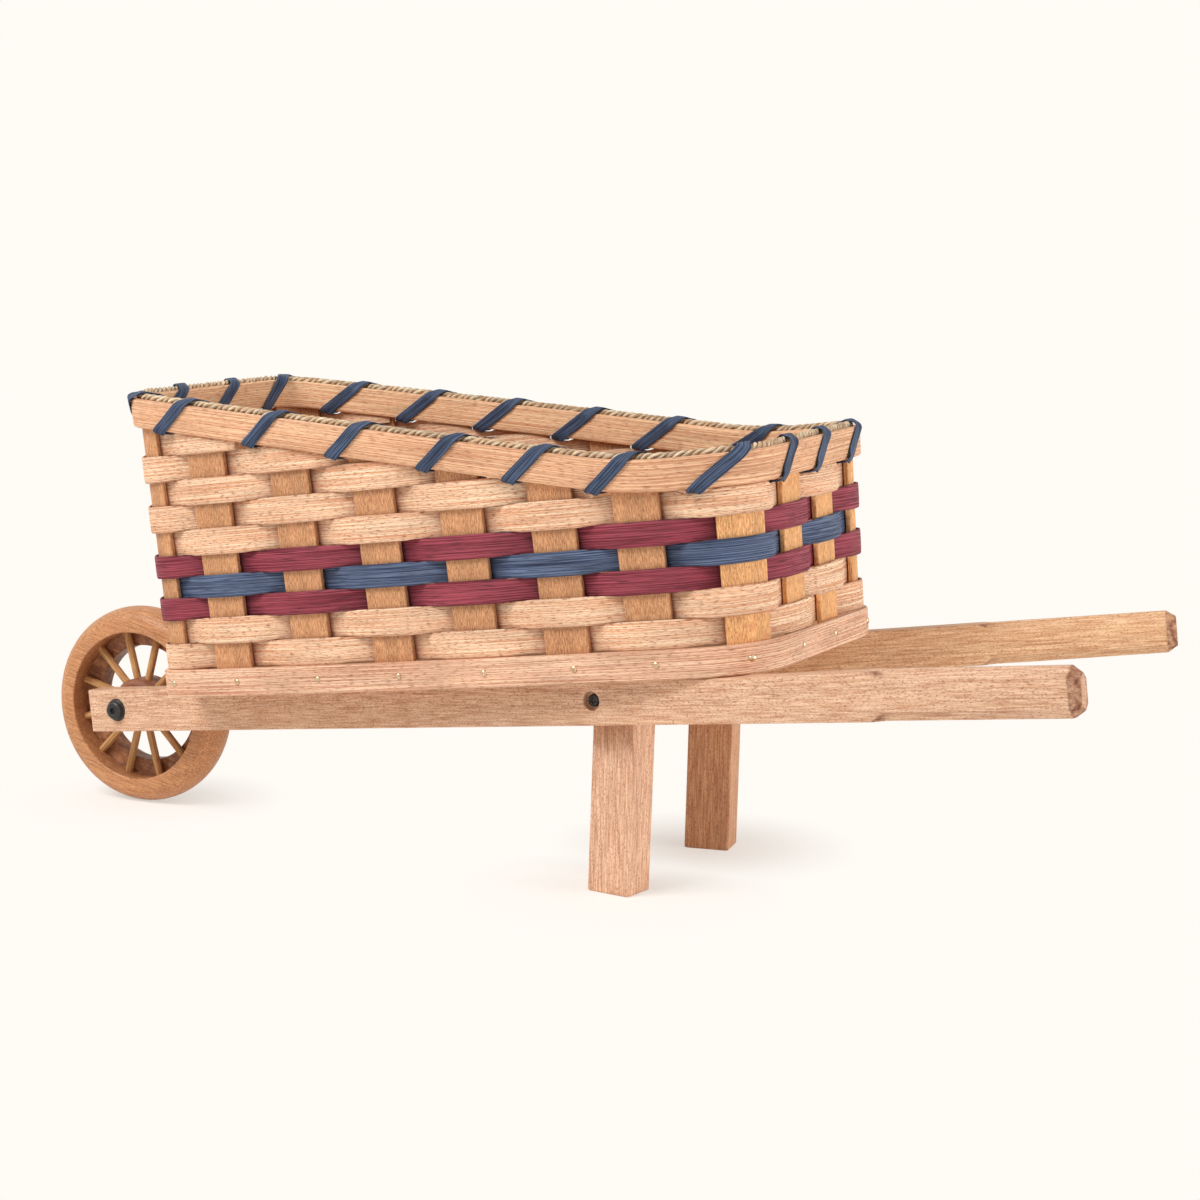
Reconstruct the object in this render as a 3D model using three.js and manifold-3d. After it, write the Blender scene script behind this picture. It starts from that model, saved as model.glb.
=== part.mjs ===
// A woven wheelbarrow basket: two splayed wooden rails carry a spoked wooden wheel at one end and
// end in octagonal handles at the other. A pair of legs and a reed basket sit between them.
// Millimetres, +Z up, +X from the wheel to the handles. The wheel and the feet stand on z = 0.
import * as THREE from "three";
import { mergeVertices } from "three/addons/utils/BufferGeometryUtils.js";
import Module from "manifold-3d";

const wasm = await Module();
wasm.setup();

// Fits
const SEAT_GAP = 0.3; // between pieces that touch
const RUNNING_GAP = 0.2; // round the axle, where the hub turns
const DRILL_GAP = 0.3; // round a dowel, screw or bolt in its hole

// Wheel: a turned ring with a lip behind the spokes, dowel spokes and a hub
const WHEEL_RADIUS = 63.5;
const WHEEL_WIDTH = 27;
const TREAD_CROWN = 10; // how far the tread rounds in towards its edges
const RING_BORE_RADIUS = 47.5; // front opening, into which the spokes are let
const LIP_RADIUS = 37.5; // smaller opening behind the spokes
const LIP_WIDTH = 12;
const HUB_RADIUS = 17;
const HUB_WIDTH = 24;
const HUB_BEVEL = 2.5;
const HUB_SIDE_PLAY = 3.5; // from each hub face to the rail beside it
const SPOKE_COUNT = 12;
const SPOKE_RADIUS = 2.4;
const SPOKE_SEAT = 5; // depth of a spoke's end in the hub and in the ring
const SPOKE_LIP_GAP = 1; // from the spokes to the lip behind them
const AXLE_RADIUS = 3.2;
const CAP_FLANGE_RADIUS = 7;
const CAP_FLANGE_THICKNESS = 1.6;
const CAP_RADIUS = 5.6;
const CAP_HEIGHT = 3.4; // above the flange
const SOCKET_RADIUS = 2.3; // hexagon socket, to its corners
const SOCKET_DEPTH = 2.2;
const NUT_SLEEVE_WALL = 1.2;
const NUT_SLEEVE_LENGTH = 11;

// Rails: straight on top, tapering below towards the handles
const DECK_PITCH = THREE.MathUtils.degToRad(7.05); // slope of the rails' tops, up to the handles
const AXLE_BELOW_DECK = 13.2;
const RAIL_SPLAY = THREE.MathUtils.degToRad(8.9);
const RAIL_THICKNESS = 14;
const RAIL_NOSE = 24.5; // rail ahead of the axle
const RAIL_REACH = 648; // rail behind the axle
const RAIL_NOSE_HEIGHT = 27.2;
const RAIL_HANDLE_HEIGHT = 22.8;
const RAIL_EASE = 0.8; // broken edges of the square stretch
const HANDLE_LENGTH = 106;
const HANDLE_CHAMFER = 5;
const HANDLE_STOP = 9; // length over which the chamfers run out
const HANDLE_END_BEVEL = 3;

// Legs
const LEG_POSITION = 378; // along the rail from the axle, at the rail's top
const LEG_WIDTH = 26;
const LEG_DEPTH = 19;
const LEG_EASE = 1;
const LEG_LEAN = THREE.MathUtils.degToRad(1.5); // the tops lean towards the handles
const LEG_SCREW_OFFSET = -7; // along the rail from the leg's middle
const LEG_SCREW_DROP = 11; // below the rail's top
const LEG_SCREW_RADIUS = 2;
const LEG_SCREW_LENGTH = 26;
const SCREW_HEAD_RADIUS = 3.5;
const SCREW_HEAD_HEIGHT = 2.6;
const COUNTERBORE_RADIUS = 4.8;
const COUNTERBORE_DEPTH = 4;

// Basket plan, on the middle of the stakes where they meet the base board
const BASKET_WHEEL_GAP = 13; // from the wheel's tread to the basket
const BASKET_LENGTH = 387.5;
const WHEEL_END_HALF_WIDTH = 80;
const HANDLE_END_HALF_WIDTH = 94;
const SIDE_BOW = 12; // how far the sides' guide point stands out past a straight side
const WHEEL_CORNER = 20;
const HANDLE_CORNER = 34;
const WALL_LEAN = 0.045; // outward lean of the sides and the handle end

// Basket pieces
const BOARD_THICKNESS = 11;
const HOOP_HEIGHT = 16.5;
const HOOP_THICKNESS = 4.5;
const HOOP_EASE = 1.2;
const STAKE_COUNT = 20;
const STAKE_WIDTH = 24;
const STAKE_THICKNESS = 3.2;
const REED_THICKNESS = 1.5;
const REED_GAP = 0.4; // from a stake's edges to a reed
const REED_CROWN = 0.7; // a reed stands off the middle of a stake a little more than at its edges
const NATURAL_REED = 14.2;
const DYED_REED = 12;
const ROW_GAP = 0.6;
const SHORT_ROW_TIP = 4; // height at which a short row's tapered end stops
const LOWER_ROWS = ["natural", "natural", "red", "blue", "red"];
const UPPER_ROWS = ["natural", "natural", "natural", "natural", "natural"];

// Rim: two bands on the stakes, a cord laid in the groove on top, and a lashing wound round all three
const RIM_HEIGHT_WHEEL = 181.5; // top of the bands above the rails
const RIM_HEIGHT_HANDLE = 116.5;
const RIM_LEVEL_FROM = 328.5; // from the wheel end to where the rim turns level
const RIM_BEND = 25; // half the length of that turn
const BAND_HEIGHT = 17.5;
const BAND_THICKNESS = 4.5;
const BAND_EASE = 1.6;
const GROOVE_DEPTH = 3;
const GROOVE_WIDTH = 2.1; // in each band
const FILLER_RADIUS = 2.6;
const FILLER_RISE = 0.4; // middle of the cord above the bands
const LASH_WIDTH = 7.4;
const LASH_THICKNESS = 1;
const LASH_GAP = 0.5; // to the pieces that it goes round
const LASH_SLANT = 18; // advance along the rim on the outer side of each turn
const LASH_TOP = 14; // advance over the top
const LASH_EDGE_LEAN = 1.6; // rise over run of the strip's face where it turns over a band's edge
const LASH_SLOT = 2.5; // from the bands to the row below, where the lashing passes through the wall

// Facets
const RING_SIDES = 36;
const ROUND_SIDES = 20;
const DOWEL_SIDES = 8;
const TREAD_STEPS = 6;
const FILLER_SIDES = 6;
const STRAIGHT_ENOUGH = 0.2; // radians of turn that need no more stations
const CLIMB_STEPS = 4;
const DESCENT_STEPS = 5;
const CROWN_STEPS = 2; // in each of the four stretches over the top
const THROUGH_STEPS = 4; // through the wall

const MATERIALS = {
  rail: { color: 0xc99a6c, roughness: 0.6, metalness: 0 },
  wheel: { color: 0xa9683a, roughness: 0.5, metalness: 0 },
  spoke: { color: 0xc08d55, roughness: 0.55, metalness: 0 },
  stake: { color: 0xb9854c, roughness: 0.65, metalness: 0 },
  natural: { color: 0xd8ad80, roughness: 0.7, metalness: 0 },
  red: { color: 0x7a2a36, roughness: 0.65, metalness: 0 },
  blue: { color: 0x3c465f, roughness: 0.65, metalness: 0 },
  filler: { color: 0xb9a27a, roughness: 0.85, metalness: 0 },
  black: { color: 0x1d1c1c, roughness: 0.4, metalness: 0.6 },
};

// Solids

// One closed mesh as a solid for joining and cutting. Corners are merged and empty triangles dropped.
function solidOf(geometry) {
  const bare = geometry.clone();
  bare.deleteAttribute("normal");
  bare.deleteAttribute("uv");
  const merged = mergeVertices(bare, 1e-4);
  const index = merged.index.array;
  const triangles = [];
  for (let i = 0; i < index.length; i += 3) {
    const [a, b, c] = [index[i], index[i + 1], index[i + 2]];
    if (a !== b && b !== c && a !== c) triangles.push(a, b, c);
  }
  const mesh = new wasm.Mesh({
    numProp: 3,
    vertProperties: merged.attributes.position.array,
    triVerts: new Uint32Array(triangles),
  });
  return new wasm.Manifold(mesh);
}

function geometryOf(solid) {
  const { vertProperties, triVerts, numProp, numVert } = solid.getMesh();
  const positions = new Float32Array(numVert * 3);
  for (let i = 0; i < numVert; i++) {
    positions.set(vertProperties.subarray(i * numProp, i * numProp + 3), i * 3);
  }
  const geometry = new THREE.BufferGeometry();
  geometry.setAttribute("position", new THREE.BufferAttribute(positions, 3));
  geometry.setIndex(new THREE.BufferAttribute(triVerts, 1));
  return geometry;
}

function cut(geometry, cutters) {
  let solid = solidOf(geometry);
  for (const cutter of cutters) solid = solid.subtract(solidOf(cutter));
  return geometryOf(solid);
}

// Turns the faces of an indexed closed mesh outwards.
function facingOut(geometry) {
  const index = geometry.index.array;
  const [a, b, c] = [new THREE.Vector3(), new THREE.Vector3(), new THREE.Vector3()];
  let volume = 0;
  for (let i = 0; i < index.length; i += 3) {
    a.fromBufferAttribute(geometry.attributes.position, index[i]);
    b.fromBufferAttribute(geometry.attributes.position, index[i + 1]);
    c.fromBufferAttribute(geometry.attributes.position, index[i + 2]);
    volume += a.dot(b.cross(c));
  }
  if (volume < 0) {
    for (let i = 0; i < index.length; i += 3) {
      [index[i + 1], index[i + 2]] = [index[i + 2], index[i + 1]];
    }
  }
  return geometry;
}

// Skin over a row of sections with equally many points. An open row is closed by flat ends.
// Opposite faces are split along the same diagonal, so that a twisted strip keeps its thickness.
function loft(sections, closed) {
  const sides = sections[0].length;
  const points = sections.flat();
  const index = [];
  const spans = closed ? sections.length : sections.length - 1;
  for (let i = 0; i < spans; i++) {
    const here = i * sides;
    const next = ((i + 1) % sections.length) * sides;
    for (let j = 0; j < sides; j++) {
      const k = (j + 1) % sides;
      const [a, b, c, d] = [here + j, next + j, next + k, here + k];
      if (j < sides / 2) index.push(a, b, c, a, c, d);
      else index.push(a, b, d, b, c, d);
    }
  }
  if (!closed) {
    const last = (sections.length - 1) * sides;
    for (let j = 1; j < sides - 1; j++) {
      index.push(0, j, j + 1, last, last + j + 1, last + j);
    }
  }
  const geometry = new THREE.BufferGeometry().setFromPoints(points);
  geometry.setIndex(index);
  return facingOut(geometry);
}

// Solid of revolution about Y through [radius, y] points. A ring's profile ends where it starts.
function revolve(profile, sides) {
  const lathe = new THREE.LatheGeometry(
    profile.map(([radius, y]) => new THREE.Vector2(radius, y)),
    sides,
  );
  lathe.deleteAttribute("normal");
  lathe.deleteAttribute("uv");
  return facingOut(mergeVertices(lathe, 1e-4));
}

// Cylinder along Y between two heights.
function cylinder(radius, low, high, sides) {
  return new THREE.CylinderGeometry(radius, radius, high - low, sides).translate(0, (low + high) / 2, 0);
}

// Radius to the corners of a polygon whose flats lie on a circle.
const cornerRadius = (radius, sides) => radius / Math.cos(Math.PI / sides);

// Straight bar with the given section, cut off by two planes.
function barBetween(section, direction, lower, upper) {
  const reach = (point, plane) =>
    point.clone().addScaledVector(direction, -plane.distanceToPoint(point) / plane.normal.dot(direction));
  const ends = [lower, upper].map((plane) => section.map((point) => reach(point, plane)));
  return loft(ends, false);
}

// Rectangle with cut corners, as [across, along] points.
function easedRectangle(low, high, ease) {
  const [x0, z0] = low;
  const [x1, z1] = high;
  return [
    [x0 + ease, z0],
    [x1 - ease, z0],
    [x1, z0 + ease],
    [x1, z1 - ease],
    [x1 - ease, z1],
    [x0 + ease, z1],
    [x0, z1 - ease],
    [x0, z0 + ease],
  ];
}

function piece(name, material, geometry) {
  const surface = new THREE.MeshStandardMaterial({ ...MATERIALS[material], flatShading: true });
  const mesh = new THREE.Mesh(geometry, surface);
  mesh.name = name;
  return mesh;
}

// Frames: the deck is the plane of the rails' tops, and each rail's frame has its X along the rail
// and y = 0 on the rail's inner face. The whole is centred over its length at the end.

const RAIL_GAP = HUB_WIDTH + 2 * HUB_SIDE_PLAY;

const wheelbarrow = new THREE.Group();

const deck = new THREE.Group();
deck.position.z = WHEEL_RADIUS + AXLE_BELOW_DECK;
deck.rotation.y = -DECK_PITCH;
wheelbarrow.add(deck);

const axle = new THREE.Group();
axle.position.z = WHEEL_RADIUS;
wheelbarrow.add(axle);

const sides = { left: -1, right: 1 };
const railFrames = {};
for (const [side, sign] of Object.entries(sides)) {
  const frame = new THREE.Group();
  frame.position.y = (sign * RAIL_GAP) / 2;
  frame.rotation.z = sign * RAIL_SPLAY;
  deck.add(frame);
  railFrames[side] = frame;
}
wheelbarrow.updateMatrixWorld(true);

const fromTo = (source, target) => target.matrixWorld.clone().invert().multiply(source.matrixWorld);

// Axle bolt and cap nut

// Heads seat square to the axle, in spot faces cut just deep enough into the splayed rails.
const SPOT_FACE_RADIUS = CAP_FLANGE_RADIUS + SEAT_GAP;
const RAIL_OUTSIDE = RAIL_GAP / 2 + RAIL_THICKNESS / Math.cos(RAIL_SPLAY);
const HEAD_SEAT = RAIL_OUTSIDE - SPOT_FACE_RADIUS * Math.tan(RAIL_SPLAY);
const FLANGE_BASE = HEAD_SEAT + SEAT_GAP;
const CAP_TOP = FLANGE_BASE + CAP_FLANGE_THICKNESS + CAP_HEIGHT;
const NUT_BORE_RADIUS = AXLE_RADIUS + DRILL_GAP;
const NUT_SLEEVE_RADIUS = NUT_BORE_RADIUS + NUT_SLEEVE_WALL;
const NUT_SLEEVE_END = FLANGE_BASE - NUT_SLEEVE_LENGTH;

// Flange, then a cap with a bevelled top, from the flange's underside to the axis.
const capProfile = (underside) => [
  [underside, FLANGE_BASE],
  [CAP_FLANGE_RADIUS, FLANGE_BASE],
  [CAP_FLANGE_RADIUS, FLANGE_BASE + CAP_FLANGE_THICKNESS],
  [CAP_RADIUS, FLANGE_BASE + CAP_FLANGE_THICKNESS],
  [CAP_RADIUS, CAP_TOP - CAP_HEIGHT / 3],
  [CAP_RADIUS - CAP_HEIGHT / 3, CAP_TOP],
  [0, CAP_TOP],
];
const hexSocket = () => cylinder(SOCKET_RADIUS, CAP_TOP - SOCKET_DEPTH, CAP_TOP + SEAT_GAP, 6);

function axleBolt() {
  const profile = [[0, -FLANGE_BASE], [AXLE_RADIUS, -FLANGE_BASE], ...capProfile(AXLE_RADIUS)];
  return cut(revolve(profile, ROUND_SIDES), [hexSocket()]);
}

function axleNut() {
  const profile = [
    [0, FLANGE_BASE + SEAT_GAP],
    [NUT_BORE_RADIUS, FLANGE_BASE + SEAT_GAP],
    [NUT_BORE_RADIUS, NUT_SLEEVE_END],
    [NUT_SLEEVE_RADIUS, NUT_SLEEVE_END],
    ...capProfile(NUT_SLEEVE_RADIUS),
  ];
  return cut(revolve(profile, ROUND_SIDES), [hexSocket()]);
}

// The bolt's head is on the left side, so it turns half round; the nut faces the right side.
const bolt = piece("axle_bolt", "black", axleBolt());
bolt.rotation.z = Math.PI;
axle.add(bolt, piece("axle_nut", "black", axleNut()));

// Holes through both rails, in the axle's frame.
function axleHoles() {
  const beyond = CAP_TOP + RAIL_THICKNESS;
  return [
    cylinder(AXLE_RADIUS + DRILL_GAP, -beyond, 0, ROUND_SIDES),
    cylinder(NUT_SLEEVE_RADIUS + DRILL_GAP, 0, beyond, ROUND_SIDES),
    cylinder(SPOT_FACE_RADIUS, -beyond, -HEAD_SEAT, ROUND_SIDES),
    cylinder(SPOT_FACE_RADIUS, HEAD_SEAT, beyond, ROUND_SIDES),
  ];
}

// Wheel

const SPOKE_PLANE = WHEEL_WIDTH / 2 - LIP_WIDTH - SPOKE_LIP_GAP - SPOKE_RADIUS;
const SPOKE_INNER = HUB_RADIUS - SPOKE_SEAT;
const SPOKE_OUTER = RING_BORE_RADIUS + SPOKE_SEAT;

// Dowel standing on the axle, at the spokes' plane, turned to the given spoke's place.
function dowel(number, radius, inner, outer) {
  return cylinder(radius, inner, outer, DOWEL_SIDES)
    .rotateX(Math.PI / 2)
    .translate(0, SPOKE_PLANE, 0)
    .rotateY((2 * Math.PI * (number + 0.5)) / SPOKE_COUNT);
}

const spokeNumbers = Array.from({ length: SPOKE_COUNT }, (_, number) => number);
const spokeSocket = (number) =>
  dowel(number, SPOKE_RADIUS + DRILL_GAP, SPOKE_INNER - SEAT_GAP, SPOKE_OUTER + SEAT_GAP);

function wheelRing() {
  const half = WHEEL_WIDTH / 2;
  const tread = [];
  for (let i = 0; i <= TREAD_STEPS; i++) {
    const angle = Math.PI * (i / TREAD_STEPS - 0.5);
    tread.push([WHEEL_RADIUS - TREAD_CROWN * (1 - Math.cos(angle)), half * Math.sin(angle)]);
  }
  const profile = [
    [RING_BORE_RADIUS, -half],
    ...tread,
    [LIP_RADIUS, half],
    [LIP_RADIUS, half - LIP_WIDTH],
    [RING_BORE_RADIUS, half - LIP_WIDTH],
    [RING_BORE_RADIUS, -half],
  ];
  return cut(revolve(profile, RING_SIDES), spokeNumbers.map(spokeSocket));
}

function wheelHub() {
  const half = HUB_WIDTH / 2;
  const bore = cornerRadius(AXLE_RADIUS + RUNNING_GAP, ROUND_SIDES);
  const profile = [
    [bore, -half],
    [HUB_RADIUS - HUB_BEVEL, -half],
    [HUB_RADIUS, -half + HUB_BEVEL],
    [HUB_RADIUS, half - HUB_BEVEL],
    [HUB_RADIUS - HUB_BEVEL, half],
    [bore, half],
    [bore, -half],
  ];
  return cut(revolve(profile, ROUND_SIDES), spokeNumbers.map(spokeSocket));
}

const number2 = (number) => String(number).padStart(2, "0");

axle.add(piece("wheel_ring", "wheel", wheelRing()), piece("wheel_hub", "wheel", wheelHub()));
for (const number of spokeNumbers) {
  const spoke = dowel(number, SPOKE_RADIUS, SPOKE_INNER, SPOKE_OUTER);
  axle.add(piece(`spoke_${number2(number + 1)}`, "spoke", spoke));
}

// Rails, legs and leg screws

const railHeight = (x) =>
  THREE.MathUtils.mapLinear(x, -RAIL_NOSE, RAIL_REACH, RAIL_NOSE_HEIGHT, RAIL_HANDLE_HEIGHT);

// Square stock whose edges are chamfered along the handle. inset shrinks the section for the end bevel.
function railSection(sign, x, chamfer, inset) {
  const low = [inset, inset - railHeight(x)];
  const high = [RAIL_THICKNESS - inset, -inset];
  return easedRectangle(low, high, chamfer).map(([y, z]) => new THREE.Vector3(x, sign * y, z));
}

function rail(side, sign) {
  const squareEnd = RAIL_REACH - HANDLE_LENGTH;
  const profile = [
    [-RAIL_NOSE, RAIL_EASE, 0],
    [squareEnd, RAIL_EASE, 0],
    [squareEnd + HANDLE_STOP, HANDLE_CHAMFER, 0],
    [RAIL_REACH - HANDLE_END_BEVEL, HANDLE_CHAMFER, 0],
    [RAIL_REACH, HANDLE_CHAMFER - HANDLE_END_BEVEL / 2, HANDLE_END_BEVEL],
  ];
  const bar = loft(profile.map(([x, chamfer, inset]) => railSection(sign, x, chamfer, inset)), false);
  const toRail = fromTo(axle, railFrames[side]);
  const drilled = axleHoles().map((hole) => hole.applyMatrix4(toRail));
  return cut(bar, [...drilled, ...screwHoles(sign)]);
}

const SCREW_SEAT = RAIL_THICKNESS - COUNTERBORE_DEPTH; // from the rail's inner face
const SCREW_TIP = SCREW_SEAT + SEAT_GAP - LEG_SCREW_LENGTH;
const atScrew = (geometry) => geometry.translate(LEG_POSITION + LEG_SCREW_OFFSET, 0, -LEG_SCREW_DROP);

// Clearance hole and counterbore, along the rail's outward normal.
function screwHoles(sign) {
  const outward = (radius, low, high, sides) =>
    cylinder(radius, Math.min(sign * low, sign * high), Math.max(sign * low, sign * high), sides);
  const beyond = RAIL_THICKNESS + COUNTERBORE_DEPTH;
  return [
    outward(LEG_SCREW_RADIUS + DRILL_GAP, SCREW_TIP - SEAT_GAP, beyond, DOWEL_SIDES),
    outward(COUNTERBORE_RADIUS, SCREW_SEAT, beyond, ROUND_SIDES),
  ].map(atScrew);
}

function legScrew(sign) {
  const base = SCREW_SEAT + SEAT_GAP;
  const profile = [
    [0, SCREW_TIP],
    [LEG_SCREW_RADIUS, SCREW_TIP + 2 * LEG_SCREW_RADIUS],
    [LEG_SCREW_RADIUS, base],
    [SCREW_HEAD_RADIUS, base],
    [SCREW_HEAD_RADIUS, base + SCREW_HEAD_HEIGHT / 2],
    [SCREW_HEAD_RADIUS - SCREW_HEAD_HEIGHT / 2, base + SCREW_HEAD_HEIGHT],
    [0, base + SCREW_HEAD_HEIGHT],
  ];
  const screw = revolve(profile, DOWEL_SIDES);
  return atScrew(sign > 0 ? screw : screw.rotateZ(Math.PI));
}

// A leg stands nearly plumb against the rail's inner face, from the ground to just under the rail's top.
function leg(side, sign) {
  const toRail = railFrames[side].matrixWorld.clone().invert();
  const ground = new THREE.Plane(new THREE.Vector3(0, 0, 1), 0).applyMatrix4(toRail);
  const top = new THREE.Plane(new THREE.Vector3(0, 0, 1), SEAT_GAP);
  const plumb = ground.normal.clone().setY(0).normalize();
  const upright = plumb.applyAxisAngle(new THREE.Vector3(0, 1, 0), LEG_LEAN);
  const across = new THREE.Vector3(upright.z, 0, -upright.x);
  const half = LEG_WIDTH / 2;
  const corners = easedRectangle([-half, -LEG_DEPTH - SEAT_GAP], [half, -SEAT_GAP], LEG_EASE);
  const section = corners.map(([along, outward]) =>
    new THREE.Vector3(LEG_POSITION, sign * outward, 0).addScaledVector(across, along),
  );
  return cut(barBetween(section, upright, ground, top), screwHoles(sign));
}

for (const [side, sign] of Object.entries(sides)) {
  railFrames[side].add(
    piece(`rail_${side}`, "rail", rail(side, sign)),
    piece(`leg_${side}`, "rail", leg(side, sign)),
    piece(`leg_screw_${side}`, "black", legScrew(sign)),
  );
}

// Basket wall: a closed plan walked by t from 0 to 1, from the middle of the wheel end along the
// left side to the handles and back along the right side. Heights are above the rails' tops.

const WHEEL_END = WHEEL_RADIUS + BASKET_WHEEL_GAP;
const HANDLE_END = WHEEL_END + BASKET_LENGTH;

function basketPlan() {
  const middle = (WHEEL_END + HANDLE_END) / 2 + HANDLE_CORNER / 2;
  const bow = (WHEEL_END_HALF_WIDTH + HANDLE_END_HALF_WIDTH) / 2 + SIDE_BOW;
  const sideStart = new THREE.Vector2(WHEEL_END + WHEEL_CORNER, WHEEL_END_HALF_WIDTH);
  const sideEnd = new THREE.Vector2(HANDLE_END - HANDLE_CORNER, HANDLE_END_HALF_WIDTH);
  const startSlope = (bow - sideStart.y) / (middle - sideStart.x);
  const endSlope = (sideEnd.y - bow) / (sideEnd.x - middle);
  const wheelCorner = new THREE.Vector2(WHEEL_END, sideStart.y - startSlope * WHEEL_CORNER);
  const handleCorner = new THREE.Vector2(HANDLE_END, sideEnd.y + endSlope * HANDLE_CORNER);
  const wheelEndEdge = wheelCorner.y - WHEEL_CORNER;
  const handleEndEdge = handleCorner.y - HANDLE_CORNER;
  const plan = new THREE.Path();
  plan.moveTo(WHEEL_END, 0);
  plan.lineTo(WHEEL_END, -wheelEndEdge);
  plan.quadraticCurveTo(WHEEL_END, -wheelCorner.y, sideStart.x, -sideStart.y);
  plan.quadraticCurveTo(middle, -bow, sideEnd.x, -sideEnd.y);
  plan.quadraticCurveTo(HANDLE_END, -handleCorner.y, HANDLE_END, -handleEndEdge);
  plan.lineTo(HANDLE_END, handleEndEdge);
  plan.quadraticCurveTo(HANDLE_END, handleCorner.y, sideEnd.x, sideEnd.y);
  plan.quadraticCurveTo(middle, bow, sideStart.x, sideStart.y);
  plan.quadraticCurveTo(WHEEL_END, wheelCorner.y, WHEEL_END, wheelEndEdge);
  plan.lineTo(WHEEL_END, 0);
  return plan;
}

const plan = basketPlan();
const PLAN_LENGTH = plan.getLength();
const STAKE_PITCH = PLAN_LENGTH / STAKE_COUNT;
const wrap = (t) => t - Math.floor(t);

// Plan point and outward normal at t.
function planAt(t) {
  const point = plan.getPoint(wrap(t));
  const step = 0.5 / PLAN_LENGTH;
  const ahead = plan.getPoint(wrap(t + step));
  const behind = plan.getPoint(wrap(t - step));
  const along = ahead.sub(behind).normalize();
  return { point, normal: new THREE.Vector2(along.y, -along.x) };
}

// Point of the wall at t, standing out from the stakes' middle, at a height.
function wallPoint(t, out, height) {
  const { point, normal } = planAt(t);
  const lean = WALL_LEAN * Math.min(1, 1 + normal.x) * height;
  point.addScaledVector(normal, out + lean);
  return new THREE.Vector3(point.x, point.y, height);
}

// Height of the bands' tops: falling in a straight line from the wheel end, then level.
function rimTop(t) {
  const ahead = WHEEL_END + RIM_LEVEL_FROM - plan.getPoint(wrap(t)).x;
  const slope = (RIM_HEIGHT_WHEEL - RIM_HEIGHT_HANDLE) / RIM_LEVEL_FROM;
  const bent = THREE.MathUtils.clamp(ahead + RIM_BEND, 0, 2 * RIM_BEND) ** 2 / (4 * RIM_BEND);
  return RIM_HEIGHT_HANDLE + slope * (ahead > RIM_BEND ? ahead : bent);
}

// Stations round the wall: the edges and the middle of each stake, and more where the plan turns.
const stakeMiddle = (number) => (number + 0.5) / STAKE_COUNT;
const HALF_STAKE = STAKE_WIDTH / 2 / PLAN_LENGTH;
const HALF_PITCH = 0.5 / STAKE_COUNT;

function turns(t, reach) {
  return planAt(t - reach).normal.dot(planAt(t + reach).normal) < Math.cos(STRAIGHT_ENOUGH);
}

function stakeStations(number) {
  const middle = stakeMiddle(number);
  const parts = turns(middle, HALF_STAKE) ? [-1, -0.5, 0, 0.5, 1] : [-1, 0, 1];
  return parts.map((part) => middle + part * HALF_STAKE);
}

function wallStations() {
  const stations = [];
  const gap = HALF_PITCH - HALF_STAKE;
  for (let number = 0; number < STAKE_COUNT; number++) {
    stations.push(...stakeStations(number));
    const between = stakeMiddle(number) + HALF_PITCH;
    if (turns(between, gap)) stations.push(between - gap / 2, between, between + gap / 2);
  }
  return stations;
}

const stations = wallStations();
const stakeNumbers = Array.from({ length: STAKE_COUNT }, (_, number) => number);

// Ring round the wall whose section, as [out, height] points, may change with t.
function wallRing(sectionAt) {
  const sections = stations.map((t) => sectionAt(t).map(([out, height]) => wallPoint(t, out, height)));
  return loft(sections, true);
}

const STAKE_FACE = STAKE_THICKNESS / 2 + SEAT_GAP;

function baseBoard() {
  const edge = stations.map((t) => wallPoint(t, -STAKE_FACE, 0));
  const outline = new THREE.Shape(edge.map(({ x, y }) => new THREE.Vector2(x, y)));
  const depth = BOARD_THICKNESS - SEAT_GAP;
  return new THREE.ExtrudeGeometry(outline, { depth, bevelEnabled: false }).translate(0, 0, SEAT_GAP);
}

function baseHoop() {
  const inner = STAKE_FACE;
  const outer = inner + HOOP_THICKNESS;
  return wallRing(() => [
    [inner, SEAT_GAP],
    [outer - HOOP_EASE, SEAT_GAP],
    [outer, SEAT_GAP + HOOP_EASE],
    [outer, HOOP_HEIGHT - HOOP_EASE],
    [outer - HOOP_EASE, HOOP_HEIGHT],
    [inner, HOOP_HEIGHT],
  ]);
}

// A stake is a flat strip bent to the plan, from the board's edge to the groove of the rim.
function stake(number) {
  const half = STAKE_THICKNESS / 2;
  const sections = stakeStations(number).map((t) => {
    const top = rimTop(t) + FILLER_RISE - FILLER_RADIUS - SEAT_GAP;
    const corners = [[-half, SEAT_GAP], [half, SEAT_GAP], [half, top], [-half, top]];
    return corners.map(([out, height]) => wallPoint(t, out, height));
  });
  return loft(sections, false);
}

// Distance of a row's reed from the stakes' middle: inside one stake, outside the next, straight between.
function weave(t, row) {
  const place = t * STAKE_COUNT - 0.5;
  const nearest = Math.round(place);
  const over = (nearest + row) % 2 === 0 ? -1 : 1;
  const away = Math.abs(place - nearest) * STAKE_PITCH;
  const stand = STAKE_THICKNESS / 2 + REED_GAP + REED_THICKNESS / 2;
  const half = STAKE_WIDTH / 2;
  if (away <= half) return over * (stand + REED_CROWN * (1 - (away / half) ** 2));
  return over * stand * (1 - (2 * (away - half)) / (STAKE_PITCH - STAKE_WIDTH));
}

// The top row at any place ends a slot below the bands.
const weaveLimit = (t) => rimTop(t) - BAND_HEIGHT - LASH_SLOT;

function reedSection(t, row, low, width) {
  const high = Math.min(low + width, weaveLimit(t));
  const out = weave(t, row);
  const half = REED_THICKNESS / 2;
  const corners = [[out - half, low], [out + half, low], [out + half, high], [out - half, high]];
  return corners.map(([offset, height]) => wallPoint(t, offset, height));
}

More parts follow.
